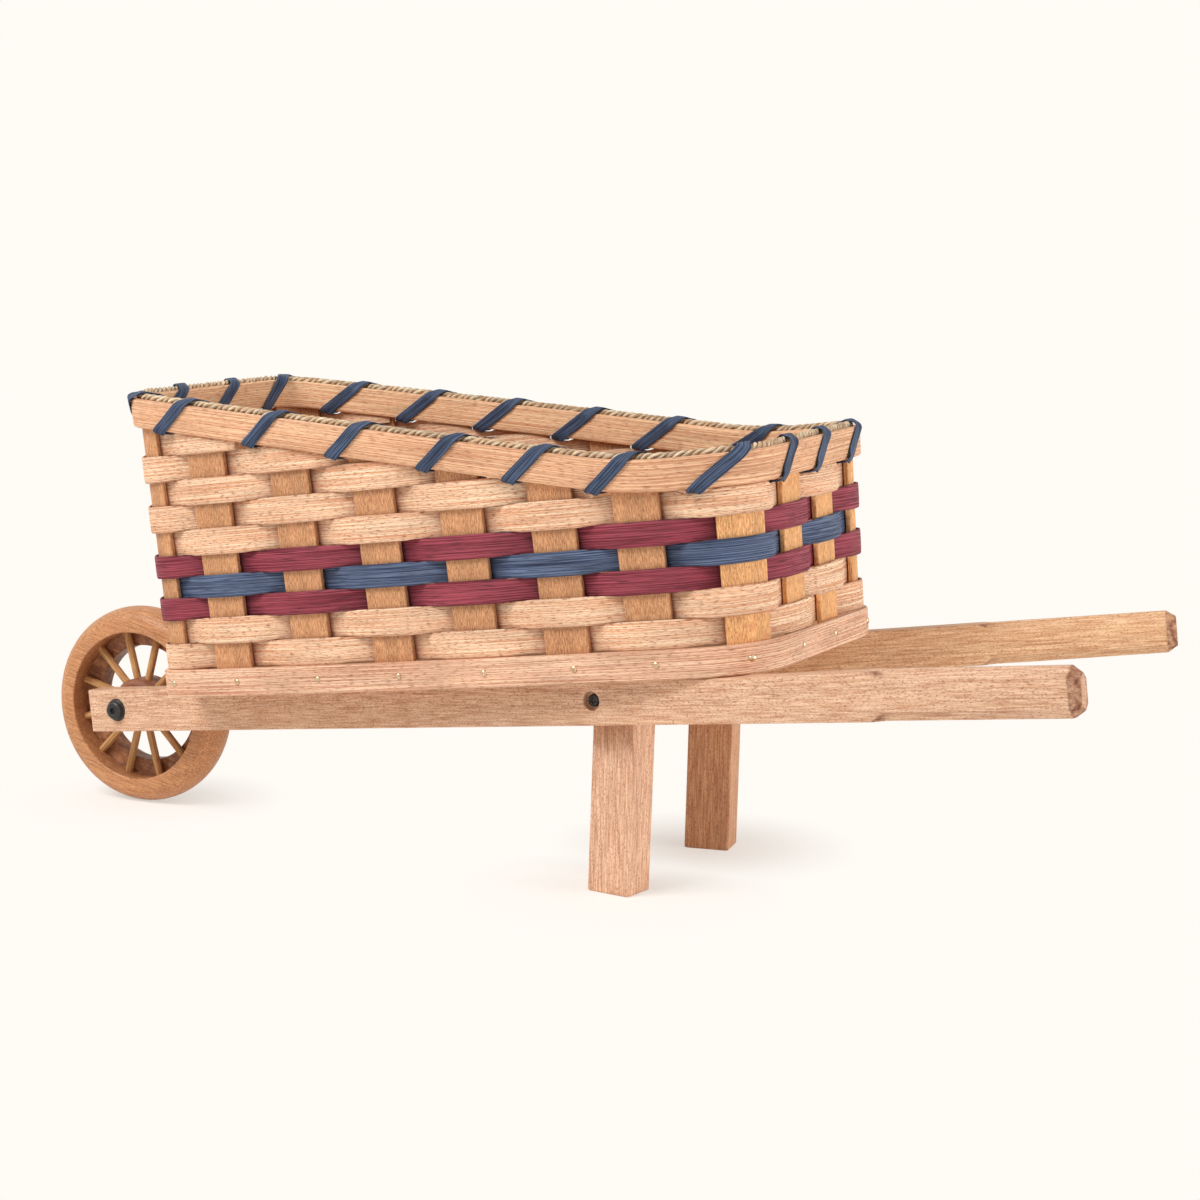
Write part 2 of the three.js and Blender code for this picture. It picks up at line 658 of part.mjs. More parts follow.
// A full row is a closed ring. A short row goes round the wheel end and tapers off under the rim.
function weaverRow(row, low, width) {
  const tip = low + SHORT_ROW_TIP;
  if (weaveLimit(0.5) > tip) {
    return loft(stations.map((t) => reedSection(t, row, low, width)), true);
  }
  let near = 0;
  let far = 0.5;
  while (far - near > 0.01 / PLAN_LENGTH) {
    const middle = (near + far) / 2;
    if (weaveLimit(middle) > tip) near = middle;
    else far = middle;
  }
  const centred = stations.map((t) => (t > 0.5 ? t - 1 : t)).sort((a, b) => a - b);
  const spare = 1 / PLAN_LENGTH;
  const inside = centred.filter((t) => Math.abs(t) < near - spare);
  return loft([-near, ...inside, near].map((t) => reedSection(t, row, low, width)), false);
}

// Rim

// Band's section outside the stakes: a groove for the cord on its inner top edge, rounded outside.
function bandSection(t, sign) {
  const inner = STAKE_FACE;
  const outer = inner + BAND_THICKNESS;
  const top = rimTop(t);
  const bottom = top - BAND_HEIGHT;
  return [
    [inner, bottom],
    [outer - BAND_EASE, bottom],
    [outer, bottom + BAND_EASE],
    [outer, top - BAND_EASE],
    [outer - BAND_EASE, top],
    [inner + GROOVE_WIDTH, top],
    [inner, top - GROOVE_DEPTH],
  ].map(([out, height]) => [sign * out, height]);
}

function rimFiller() {
  return wallRing((t) => {
    const middle = rimTop(t) + FILLER_RISE;
    return Array.from({ length: FILLER_SIDES }, (_, i) => {
      const angle = (2 * Math.PI * i) / FILLER_SIDES;
      return [FILLER_RADIUS * Math.cos(angle), middle + FILLER_RADIUS * Math.sin(angle)];
    });
  });
}

// One strip wound round the bands and the cord, one turn to each gap between two stakes.
// Each key step has its advance along the rim, its place [out, above the bands], the facing [out, up] of
// the strip there, and the number of steps to the next one.
function lashTurn() {
  const half = LASH_THICKNESS / 2;
  const side = STAKE_FACE + BAND_THICKNESS + LASH_GAP + half;
  const under = -BAND_HEIGHT - LASH_GAP - LASH_THICKNESS;
  const shoulder = -BAND_EASE;
  const crown = FILLER_RISE + FILLER_RADIUS + 2 * LASH_GAP + half;
  const edge = [side - BAND_EASE, 2 * LASH_GAP + LASH_THICKNESS];
  const climbed = (share) => THREE.MathUtils.lerp(under, shoulder, share);
  const firstStep = 1 / CLIMB_STEPS;
  const lastStep = 1 / DESCENT_STEPS;
  const over = LASH_SLANT + LASH_TOP;
  const slope = (STAKE_PITCH - over) * lastStep;
  return [
    [0, [side, under], [1, -1], 1],
    [LASH_SLANT * firstStep, [side, climbed(firstStep)], [1, 0], CLIMB_STEPS - 1],
    [LASH_SLANT, [side, shoulder], [1, 0], CROWN_STEPS],
    [LASH_SLANT + LASH_TOP / 4, edge, [1, LASH_EDGE_LEAN], CROWN_STEPS],
    [LASH_SLANT + LASH_TOP / 2, [0, crown], [0, 1], CROWN_STEPS],
    [LASH_SLANT + (3 * LASH_TOP) / 4, [-edge[0], edge[1]], [-1, LASH_EDGE_LEAN], CROWN_STEPS],
    [over, [-side, shoulder], [-1, 0], DESCENT_STEPS - 1],
    [STAKE_PITCH - slope, [-side, climbed(lastStep)], [-1, 0], 1],
    [STAKE_PITCH, [-side, under], [-1, -1], THROUGH_STEPS],
  ];
}

// All the steps of the winding, from its first key step to its last.
function lashSteps() {
  const keys = stakeNumbers.flatMap((number) =>
    lashTurn().map(([advance, ...rest]) => [advance + number * STAKE_PITCH, ...rest]),
  );
  const steps = keys.slice(0, -1).flatMap(([advance, place, facing, count], i) => {
    const [nextAdvance, nextPlace, nextFacing] = keys[i + 1];
    return Array.from({ length: count }, (_, step) => {
      const mix = (from, to) => THREE.MathUtils.lerp(from, to, step / count);
      const mixed = (from, to) => [mix(from[0], to[0]), mix(from[1], to[1])];
      return [mix(advance, nextAdvance), mixed(place, nextPlace), mixed(facing, nextFacing)];
    });
  });
  return [...steps, keys.at(-1)];
}

// Directions at the rim: out of the wall, along the sloping rim, and up from it.
function rimFrame(t) {
  const step = 0.5 / PLAN_LENGTH;
  const at = (place) => wallPoint(place, 0, rimTop(place));
  const along = at(t + step).sub(at(t - step)).normalize();
  const { normal } = planAt(t);
  const out = new THREE.Vector3(normal.x, normal.y, 0);
  const up = new THREE.Vector3().crossVectors(out, along).normalize();
  return { out, up: up.z < 0 ? up.negate() : up };
}

// How far a hollow corner closes in on a flat strip within the strip's own width. The strip bridges it.
function bridge(t, out) {
  const height = rimTop(t);
  const here = wallPoint(t, out, height);
  const facing = rimFrame(t).out.multiplyScalar(Math.sign(out));
  const reach = LASH_WIDTH / PLAN_LENGTH;
  const rises = [t - reach, t + reach].map((place) => wallPoint(place, out, height).sub(here).dot(facing));
  return Math.max(0, ...rises);
}

function lashPath() {
  return lashSteps().map(([advance, [out, above], [faceOut, faceUp]]) => {
    const t = advance / PLAN_LENGTH;
    const frame = rimFrame(t);
    const normal = frame.out.multiplyScalar(faceOut).addScaledVector(frame.up, faceUp).normalize();
    const stand = out + Math.sign(out) * bridge(t, out);
    return { point: wallPoint(t, stand, rimTop(t) + above), normal };
  });
}

// Least distance between points half a turn or more apart along the strip, less the strip's width.
function leastLashGap(path) {
  const halfTurn = Math.round(path.length / STAKE_COUNT / 2);
  let least = Infinity;
  path.forEach((here, i) => {
    for (const there of path.slice(i + halfTurn)) {
      least = Math.min(least, here.point.distanceTo(there.point) - LASH_WIDTH);
    }
  });
  return least;
}

function rimLashing() {
  const path = lashPath();
  console.log(`least gap of the lashing to itself: ${leastLashGap(path).toFixed(2)} mm`);
  const sections = path.map(({ point, normal }, i) => {
    const before = path[Math.max(i - 1, 0)].point;
    const after = path[Math.min(i + 1, path.length - 1)].point;
    const along = after.clone().sub(before).normalize();
    const across = new THREE.Vector3().crossVectors(along, normal).normalize();
    const facing = new THREE.Vector3().crossVectors(across, along).normalize();
    across.multiplyScalar(LASH_WIDTH / 2);
    facing.multiplyScalar(LASH_THICKNESS / 2);
    const corner = (a, b) => point.clone().addScaledVector(across, a).addScaledVector(facing, b);
    return [corner(-1, -1), corner(1, -1), corner(1, 1), corner(-1, 1)];
  });
  return loft(sections, false);
}

const basket = new THREE.Group();
deck.add(basket);
basket.add(piece("base_board", "rail", baseBoard()), piece("base_hoop", "natural", baseHoop()));
for (const number of stakeNumbers) {
  basket.add(piece(`stake_${number2(number + 1)}`, "stake", stake(number)));
}
let rowBottom = HOOP_HEIGHT + ROW_GAP;
[...LOWER_ROWS, ...UPPER_ROWS].forEach((dye, row) => {
  const width = dye === "natural" ? NATURAL_REED : DYED_REED;
  basket.add(piece(`weaver_${number2(row + 1)}`, dye, weaverRow(row, rowBottom, width)));
  rowBottom += width + ROW_GAP;
});
basket.add(
  piece("rim_outer", "natural", wallRing((t) => bandSection(t, 1))),
  piece("rim_inner", "natural", wallRing((t) => bandSection(t, -1))),
  piece("rim_filler", "filler", rimFiller()),
  piece("rim_lashing", "blue", rimLashing()),
);

// The origin is under the middle of the length and the width.
const bounds = new THREE.Box3().setFromObject(wheelbarrow, true);
wheelbarrow.position.x = -(bounds.min.x + bounds.max.x) / 2;

export default wheelbarrow;
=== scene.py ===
# %% [markdown]
# # A woven basket on a small wooden wheelbarrow
# The solids of the wheelbarrow come in as a fixed frame: rails, legs, wheel, stakes, woven rows and rim.
# In this lesson each of them is dressed with a finer surface and a finish of its own.
# Every length below is in millimetres and every point is already in its final place,
# so a new piece falls exactly where the plain solid was.

import bpy
import numpy as np
from mathutils import Matrix


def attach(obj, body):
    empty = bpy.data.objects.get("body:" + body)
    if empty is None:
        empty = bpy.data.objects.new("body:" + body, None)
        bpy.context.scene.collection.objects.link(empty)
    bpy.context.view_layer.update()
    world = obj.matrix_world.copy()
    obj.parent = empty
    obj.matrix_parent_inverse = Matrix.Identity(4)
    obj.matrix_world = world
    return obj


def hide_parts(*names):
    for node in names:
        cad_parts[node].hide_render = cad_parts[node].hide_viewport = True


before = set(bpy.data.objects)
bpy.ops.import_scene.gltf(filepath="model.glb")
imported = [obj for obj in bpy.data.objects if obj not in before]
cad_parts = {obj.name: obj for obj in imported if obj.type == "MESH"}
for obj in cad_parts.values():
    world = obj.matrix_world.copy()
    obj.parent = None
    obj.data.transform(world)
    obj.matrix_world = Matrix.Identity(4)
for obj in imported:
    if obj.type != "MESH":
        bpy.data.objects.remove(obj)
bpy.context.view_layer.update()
MM = 0.001
scene = bpy.context.scene
scene.view_settings.view_transform = "Standard"

# %% [markdown]
# ## The camera
# The photograph was taken from the left side, a little above the rim and with a long lens.
# The place and the three angles were worked out from straight edges of the rails, the round wheel
# and the feet on the ground. A camera can also be aimed with a constraint, but a matrix made of the
# right, up and backward directions keeps the small roll that the photograph has.

# %% Camera at the photograph's place
YAW, TILT, ROLL = 0.4465, 0.1311, 0.0133
forward = np.array([-np.sin(YAW) * np.cos(TILT), np.cos(YAW) * np.cos(TILT), -np.sin(TILT)])
level = np.array([np.cos(YAW), np.sin(YAW), 0.0])
above = np.cross(level, forward)
right = np.cos(ROLL) * level + np.sin(ROLL) * above
upward = np.cos(ROLL) * above - np.sin(ROLL) * level

lens = bpy.data.cameras.new("camera")
lens.sensor_fit = "HORIZONTAL"
lens.sensor_width = 36.0
lens.lens = 66.557
camera = bpy.data.objects.new("camera", lens)
turned = Matrix(np.column_stack([right, upward, -forward]).tolist()).to_4x4()
camera.matrix_world = Matrix.Translation((0.590655, -1.151776, 0.321684)) @ turned
scene.collection.objects.link(camera)
scene.camera = camera
print("camera", [round(v, 3) for v in camera.location], "lens", lens.lens)

# %% [markdown]
# ## Helpers for shader nodes
# A finish is a small graph of nodes. Writing out every link makes long code, so one helper adds a node,
# sets its options and feeds its sockets, either with a value or with the output of another node. Two more
# helpers start a finish with an empty graph, and work out one number from two others.
# Colours are noted as they look on a screen and turned into linear light, which shaders reckon in.

# %% Node helper and colour helper
def add(tree, kind, inputs=None, **options):
    """Add one node: options are its settings, inputs maps a socket to a value or to another socket."""
    made = tree.nodes.new(kind)
    for option, value in options.items():
        setattr(made, option, value)
    for socket, value in (inputs or {}).items():
        if isinstance(value, bpy.types.NodeSocket):
            tree.links.new(value, made.inputs[socket])
        else:
            made.inputs[socket].default_value = value
    return made


def new_finish(name):
    """Fresh material with an empty graph of nodes, and that graph."""
    finish = bpy.data.materials.new(name)
    finish.use_nodes = True
    finish.node_tree.nodes.clear()
    return finish, finish.node_tree


def worked(tree, operation, first, second):
    """Number worked out from two others, such as their product or the larger one."""
    return add(tree, "ShaderNodeMath", {0: first, 1: second}, operation=operation).outputs[0]


def shade(red, green, blue):
    """Screen colour (0 to 255) to linear light: a straight toe, then the power 2.4 of the shifted value."""
    seen = np.array([red, green, blue]) / 255
    linear = np.where(seen <= 0.04045, seen / 12.92, ((seen + 0.055) / 1.055) ** 2.4)
    return (*linear.tolist(), 1.0)


print("cream in linear light:", [round(c, 3) for c in shade(255, 251, 245)])

# %% [markdown]
# ## Floor and light
# The basket stands on a cream sweep with faint contact shadows. A real sweep curves up behind the object;
# here the floor and the world simply show the same cream to the camera, and only round the wheel and the
# feet does the floor mix in a lit surface, so that their shadows stay. Light is soft: a pale world, a large
# lamp high on the left and a weaker one on the right, at a level where a colour comes out about as written.

# %% Cream floor that keeps the shadow
CREAM = shade(255, 251, 245)
CONTACTS = ((-0.29, 0.0, 0.0), (0.083, -0.062, 0.0), (0.083, 0.062, 0.0))
SHADOW_FROM, SHADOW_TO, SHADOW_SHARE, FLOOR_REACH = 0.01, 0.1, 0.45, 8.0


def seen_directly(tree):
    """1 for rays that show the background to the camera: straight, mirrored or through glass."""
    path = add(tree, "ShaderNodeLightPath").outputs
    mirrored = worked(tree, "MAXIMUM", path["Is Camera Ray"], path["Is Glossy Ray"])
    return worked(tree, "MAXIMUM", mirrored, path["Is Transmission Ray"])


def cream_floor():
    """Lit cream near the contacts, glowing cream elsewhere: the lit share falls with the distance."""
    finish, tree = new_finish("cream floor")
    place = add(tree, "ShaderNodeTexCoord").outputs["Object"]
    away = 1.0
    for contact in CONTACTS:
        gap = add(tree, "ShaderNodeVectorMath", {0: place, 1: contact}, operation="DISTANCE").outputs["Value"]
        away = worked(tree, "MINIMUM", gap, away)
    share = add(tree, "ShaderNodeMapRange", {0: away, 1: SHADOW_FROM, 2: SHADOW_TO, 3: SHADOW_SHARE, 4: 0.0},
                interpolation_type="SMOOTHSTEP").outputs[0]
    lit = add(tree, "ShaderNodeBsdfDiffuse", {"Color": CREAM})
    glow = add(tree, "ShaderNodeEmission", {"Color": CREAM, "Strength": 1.0})
    sweep = add(tree, "ShaderNodeMixShader", {0: share, 1: glow.outputs[0], 2: lit.outputs[0]})
    shown = add(tree, "ShaderNodeMixShader", {0: seen_directly(tree), 1: lit.outputs[0], 2: sweep.outputs[0]})
    add(tree, "ShaderNodeOutputMaterial", {"Surface": shown.outputs[0]})
    return finish


floor_corners = [(FLOOR_REACH * x, FLOOR_REACH * y, 0) for x, y in ((-1, -1), (1, -1), (1, 1), (-1, 1))]
floor_mesh = bpy.data.meshes.new("floor")
floor_mesh.from_pydata(floor_corners, [], [(0, 1, 2, 3)])
floor_mesh.materials.append(cream_floor())
floor = bpy.data.objects.new("floor", floor_mesh)
scene.collection.objects.link(floor)
print("floor", 2 * FLOOR_REACH, "m wide")

# %% Soft light
WORLD_LIGHT = 0.47
world = bpy.data.worlds.new("studio")
world.use_nodes = True
scene.world = world
tree = world.node_tree
tree.nodes.clear()
soft = add(tree, "ShaderNodeBackground", {"Color": (1.0, 0.985, 0.965, 1.0), "Strength": WORLD_LIGHT})
cream = add(tree, "ShaderNodeBackground", {"Color": CREAM, "Strength": 1.0})
shown = add(tree, "ShaderNodeMixShader", {0: seen_directly(tree), 1: soft.outputs[0], 2: cream.outputs[0]})
add(tree, "ShaderNodeOutputWorld", {"Surface": shown.outputs[0]})


def lamp(name, place, aim, width, power):
    """Square lamp at a place, turned so that its face looks at the aim."""
    light = bpy.data.lights.new(name, "AREA")
    light.shape = "SQUARE"
    light.size = width
    light.energy = power
    made = bpy.data.objects.new(name, light)
    back = np.array(place) - np.array(aim)
    back = back / np.linalg.norm(back)
    side = np.cross([0.0, 0.0, 1.0], back)
    side = side / np.linalg.norm(side)
    facing = Matrix(np.column_stack([side, np.cross(back, side), back]).tolist()).to_4x4()
    made.matrix_world = Matrix.Translation(place) @ facing
    scene.collection.objects.link(made)


lamp("key lamp", (-0.75, -1.3, 1.75), (0.0, 0.0, 0.15), 1.0, 35.0)
lamp("side lamp", (1.7, 0.1, 0.4), (0.1, 0.0, 0.1), 0.6, 12.0)
print("world light", WORLD_LIGHT, "and two lamps")

# %% [markdown]
# ## From a grid of points to a piece
# Nearly everything here is a profile carried along a path: a reed, a band, a stake, a rail, a wheel.
# Such a surface is a grid, with rows along the path and columns round the profile. Blender could sweep a
# curve instead, but a grid worked out with numpy lets the profile change on the way and gives exact
# lengths along and across, which the fibres of the finish then follow.

# %% Grid to mesh
def make_piece(name, points, finish, body="frame", nodes=(), ring=False, lay=None, marks=None):
    """Skin a grid [copy, row, column]: each four neighbours make one face, and the columns close to a tube.
    ring joins the last row to the first; a tube that is no ring gets flat ends.
    lay gives each grid corner its millimetres along and across; marks are named values at the points."""
    points = points if points.ndim == 4 else points[None]
    copies, rows, columns = points.shape[:3]
    row = np.arange(rows if ring else rows - 1)[:, None, None] + np.array([0, 1, 1, 0])
    column = np.arange(columns)[None, :, None] + np.array([0, 0, 1, 1])
    row, column = np.broadcast_arrays(row, column)
    first = (np.arange(copies) * rows * columns)[:, None, None, None]
    quads = (first + (row % rows) * columns + column % columns).reshape(-1, 4)
    flat = points.reshape(-1, 3)
    one = quads[: len(quads) // copies]
    a, b, c, d = np.moveaxis(flat[one] - flat[: rows * columns].mean(0), 1, 0)
    inside_out = np.einsum("ij,ij->", a, np.cross(b, c) + np.cross(c, d)) < 0
    round_end = np.arange(columns)
    pair = np.stack([round_end, round_end[::-1] + (rows - 1) * columns])[: 0 if ring else 2]
    ends = (first[:, 0] + pair).reshape(-1, columns)
    if inside_out:
        quads, ends = quads[:, ::-1], ends[:, ::-1]
    corners = np.concatenate([quads.ravel(), ends.ravel()])
    sizes = np.concatenate([np.full(len(quads), 4), np.full(len(ends), columns)])
    mesh = bpy.data.meshes.new(name)
    mesh.vertices.add(len(flat))
    mesh.vertices.foreach_set("co", (flat * MM).astype(np.float32).ravel())
    mesh.loops.add(len(corners))
    mesh.loops.foreach_set("vertex_index", corners.astype(np.int32))
    mesh.polygons.add(len(sizes))
    mesh.polygons.foreach_set("loop_start", (np.cumsum(sizes) - sizes).astype(np.int32))
    mesh.polygons.foreach_set("use_smooth", sizes == 4)
    if lay is not None:
        lay = lay if lay.ndim == 4 else np.broadcast_to(lay[None], (copies, *lay.shape))
        faces = lay[:, row, column].reshape(-1, 4, 2)
        last = rows - 1
        caps = np.stack([lay[:, 0, :columns], lay[:, last, :columns][:, ::-1]], 1).reshape(-1, columns, 2)
        faces = faces[:, ::-1] if inside_out else faces
        caps = caps[:, ::-1] if inside_out else caps
        spread = np.concatenate([faces.reshape(-1, 2), caps.reshape(-1, 2)[: ends.size]])
        mesh.uv_layers.new(name="lay").data.foreach_set("uv", spread.astype(np.float32).ravel())
    for mark, values in (marks or {}).items():
        mesh.attributes.new(mark, "FLOAT", "POINT").data.foreach_set("value", values.astype(np.float32).ravel())
    mesh.update(calc_edges=True)
    mesh.materials.append(finish)
    piece = bpy.data.objects.new(name, mesh)
    scene.collection.objects.link(piece)
    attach(piece, body)
    if nodes:
        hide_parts(*nodes)
    print(name, "has", int((sizes - 2).sum()), "triangles")
    return piece


def grid_lay(along, across):
    """Millimetres along each row and across each column, side by side as one grid of pairs."""
    return np.stack(np.broadcast_arrays(along[:, None], across[None, :]), -1)


print("a grid of", 3, "by", 4, "points carries", grid_lay(np.arange(3), np.arange(4)).shape[-1], "lengths each")

# %% [markdown]
# ## Fibre lines, for everything split from a plant
# Reed, splint, rim bands and the dyed strip are all split lengthwise, so long fine lines run along them,
# with short darker dashes where a fibre was torn. One node group makes those lines from the lengths along
# and across the strip, in millimetres; each finish gives it other colours and line sizes.

# %% Fibre line group
def fibre_lines():
    """Three noises of the lay, each with its own length and width: slow tone, long lines, short flecks."""
    tree = bpy.data.node_groups.new("fibre lines", "ShaderNodeTree")
    tree.interface.new_socket("Lay", in_out="INPUT", socket_type="NodeSocketVector")
    for name, size in (("Line length", 40.0), ("Line width", 0.8), ("Fleck length", 6.0), ("Fleck width", 0.5)):
        tree.interface.new_socket(name, in_out="INPUT", socket_type="NodeSocketFloat").default_value = size
    for name in ("Tone", "Lines", "Flecks", "Height"):
        tree.interface.new_socket(name, in_out="OUTPUT", socket_type="NodeSocketFloat")
    given = tree.nodes.new("NodeGroupInput").outputs
    result = tree.nodes.new("NodeGroupOutput").inputs

    def stretched(length, width, low, high, detail):
        size = add(tree, "ShaderNodeCombineXYZ", {0: length, 1: width, 2: 1.0}).outputs[0]
        lay = add(tree, "ShaderNodeVectorMath", {0: given["Lay"], 1: size}, operation="DIVIDE").outputs[0]
        noise = add(tree, "ShaderNodeTexNoise",
                    {"Vector": lay, "Scale": 1.0, "Detail": detail, "Roughness": 0.6}).outputs[0]
        return add(tree, "ShaderNodeMapRange", {0: noise, 1: low, 2: high}).outputs[0]

    tone = stretched(45.0, 9.0, 0.3, 0.7, 1.0)
    lines = stretched(given["Line length"], given["Line width"], 0.4, 0.6, 2.0)
    flecks = stretched(given["Fleck length"], given["Fleck width"], 0.55, 0.66, 1.5)
    height = worked(tree, "SUBTRACT", lines, flecks)
    for name, socket in (("Tone", tone), ("Lines", lines), ("Flecks", flecks), ("Height", height)):
        tree.links.new(socket, result[name])
    return tree


FIBRE_LINES = fibre_lines()
FIBRE_SHINY, FIBRE_DULL, FIBRE_GLOSS, FIBRE_DEPTH = 0.5, 0.7, 0.3, 0.0004


def mixed(tree, share, first, second):
    """Colour between two others, by a share."""
    return add(tree, "ShaderNodeMix", {0: share, 6: first, 7: second}, data_type="RGBA").outputs[2]


def skin_over(tree, colour, dull, height, relief, depth, extra):
    """Surface of a finish: its colour, its dullness, a bump of the given height and what is extra."""
    bump = add(tree, "ShaderNodeBump", {"Height": height, "Strength": relief, "Distance": depth}).outputs[0]
    sockets = {"Base Color": colour, "Roughness": dull, "Normal": bump, **extra}
    skin = add(tree, "ShaderNodeBsdfPrincipled", sockets)
    add(tree, "ShaderNodeOutputMaterial", {"Surface": skin.outputs[0]})


def fibre_finish(name, middle, light, dark, line, fleck, fleck_share, tone, relief, crevice_shade_share=0.0):
    """Colour: middle to light by the lines, to dark by the flecks and by the painted-shade mark, all times the
    tone.
    """
    finish, tree = new_finish(name)
    lay = add(tree, "ShaderNodeUVMap", uv_map="lay").outputs[0]
    sizes = {"Line length": line[0], "Line width": line[1], "Fleck length": fleck[0], "Fleck width": fleck[1]}
    fibre = add(tree, "ShaderNodeGroup", {"Lay": lay, **sizes}, node_tree=FIBRE_LINES).outputs
    crevice_shade = add(tree, "ShaderNodeAttribute", attribute_name="crevice_shade").outputs["Fac"]
    stripes = mixed(tree, fibre["Lines"], middle, light)
    torn = mixed(tree, worked(tree, "MULTIPLY", fibre["Flecks"], fleck_share), stripes, dark)
    deep = mixed(tree, worked(tree, "MULTIPLY", crevice_shade, crevice_shade_share), torn, dark)
    level = add(tree, "ShaderNodeMapRange", {0: fibre["Tone"], 3: tone[0], 4: tone[1]}).outputs[0]
    toned = add(tree, "ShaderNodeVectorMath", {0: deep, 3: level}, operation="SCALE").outputs[0]
    dull = add(tree, "ShaderNodeMapRange", {0: fibre["Lines"], 3: FIBRE_DULL, 4: FIBRE_SHINY}).outputs[0]
    skin_over(tree, toned, dull, fibre["Height"], relief, FIBRE_DEPTH, {"Specular IOR Level": FIBRE_GLOSS})
    return finish


print("fibre group sockets:", [item.name for item in FIBRE_LINES.interface.items_tree])

# %% [markdown]
# ## The wall of the basket
# Seen from above the basket is a long bowed shape with tight corners at the wheel and wider ones at the
# handles. It is drawn as straight ends and quadratic curves, like a paper pattern, and then walked at an
# even pace: the number t goes from 0 at the middle of the wheel end once round to 1. Every strip of the
# basket is found from t, a distance out from the stakes and a height above the rails.

# %% Plan of the basket
PITCH = np.radians(7.05)
AXLE_X, AXLE_Z, RAIL_TOP_OVER_AXLE = -286.69885, 63.5, 13.2
WHEEL_END, HANDLE_END = 76.5, 464.0
WHEEL_HALF, HANDLE_HALF, BOW = 80.0, 94.0, 12.0
WHEEL_CORNER, HANDLE_CORNER, LEAN = 20.0, 34.0, 0.045


def to_world(along, side, high):
    """Turn lengths along, beside and above the sloping rails by their pitch, and set them over the axle."""
    x = along * np.cos(PITCH) - high * np.sin(PITCH) + AXLE_X
    z = along * np.sin(PITCH) + high * np.cos(PITCH) + AXLE_Z + RAIL_TOP_OVER_AXLE
    return np.stack(np.broadcast_arrays(x, side, z), -1)


def bend(start, guide, end, steps=240):
    """Quadratic curve: the start, the guide point and the end weighed by (1-s)^2, 2s(1-s) and s^2."""
    s = np.linspace(0, 1, steps, endpoint=False)[:, None]
    return (1 - s) ** 2 * np.array(start) + 2 * s * (1 - s) * np.array(guide) + s**2 * np.array(end)


def basket_plan():
    """Half of the outline on the left, from the wheel to the handles, then its mirror image back."""
    guide = np.array([(WHEEL_END + HANDLE_END + HANDLE_CORNER) / 2, (WHEEL_HALF + HANDLE_HALF) / 2 + BOW])
    side_start = np.array([WHEEL_END + WHEEL_CORNER, WHEEL_HALF])
    side_end = np.array([HANDLE_END - HANDLE_CORNER, HANDLE_HALF])
    opening, closing = guide - side_start, side_end - guide
    wheel_guide = WHEEL_HALF - opening[1] / opening[0] * WHEEL_CORNER
    handle_guide = HANDLE_HALF + closing[1] / closing[0] * HANDLE_CORNER
    wheel_edge, handle_edge = wheel_guide - WHEEL_CORNER, handle_guide - HANDLE_CORNER
    half = np.concatenate([
        bend((WHEEL_END, 0), (WHEEL_END, wheel_edge / 2), (WHEEL_END, wheel_edge)),
        bend((WHEEL_END, wheel_edge), (WHEEL_END, wheel_guide), side_start),
        bend(side_start, guide, side_end),
        bend(side_end, (HANDLE_END, handle_guide), (HANDLE_END, handle_edge)),
        bend((HANDLE_END, handle_edge), (HANDLE_END, handle_edge / 2), (HANDLE_END, 0)),
        [(HANDLE_END, 0)],
    ])
    return np.concatenate([half * [1, -1], half[-2::-1]])


PLAN = basket_plan()
WALKED = np.concatenate([[0], np.cumsum(np.linalg.norm(np.diff(PLAN, axis=0), axis=1))])
ROUND = WALKED[-1]


def plan_at(t):
    """Point of the plan at t, and the direction out of the basket, square to a millimetre of the walk."""
    def point(place):
        return np.stack([np.interp(np.mod(place, 1) * ROUND, WALKED, PLAN[:, axis]) for axis in (0, 1)], -1)
    step = 0.5 / ROUND
    along = point(t + step) - point(t - step)
    along = along / np.linalg.norm(along, axis=-1, keepdims=True)
    return point(t), np.stack([along[..., 1], -along[..., 0]], -1)


def wall(t, out, high):
    """Point of the wall: the plan, moved out along its normal, also by the lean times the height."""
    point, normal = plan_at(t)
    stand = out + LEAN * np.minimum(1, 1 + normal[..., 0]) * high
    return to_world(point[..., 0] + normal[..., 0] * stand, point[..., 1] + normal[..., 1] * stand, high)


def drift(t, seed, waves):
    """Hand-made irregularity from -1 to 1: three sine waves that each fit a whole number of times round."""
    counts = np.round(waves * np.array([1.0, 1.618, 2.618]))
    phases = np.asarray(seed)[..., None] * np.array([1.7, 2.9, 4.3])
    return np.sin(2 * np.pi * counts * t[..., None] + phases).mean(-1)


print("round the basket:", round(ROUND, 1), "mm")

# %% [markdown]
# ## Stakes
# Twenty flat splints of honey-brown wood stand round the floor and carry the weave. Their edges are cut
# square and only lightly sanded, so the profile is a rectangle with small round corners, bent to the plan.
# Each stake ends in the groove under the rim's cord, and the rim came out higher on the far side. The stakes
# were set by eye, so each stands a few millimetres off the even count, and those round the handle end are
# lighter and more golden. Pieces that meet have a little play between them.

# %% Profile with round corners, and the stakes
STAKES, STAKE_WIDTH, STAKE_THICK, STAKE_EASE, STAKE_STEP = 20, 26.5, 3.2, 0.7, 2.5
PLAY = 0.3
RIM_WHEEL, RIM_HANDLE, LEVEL_FROM, RIM_BEND, FAR_LIFT = 181.5, 116.5, 328.5, 25.0, 6.0
CORD_RADIUS, CORD_RISE = 2.6, 0.4


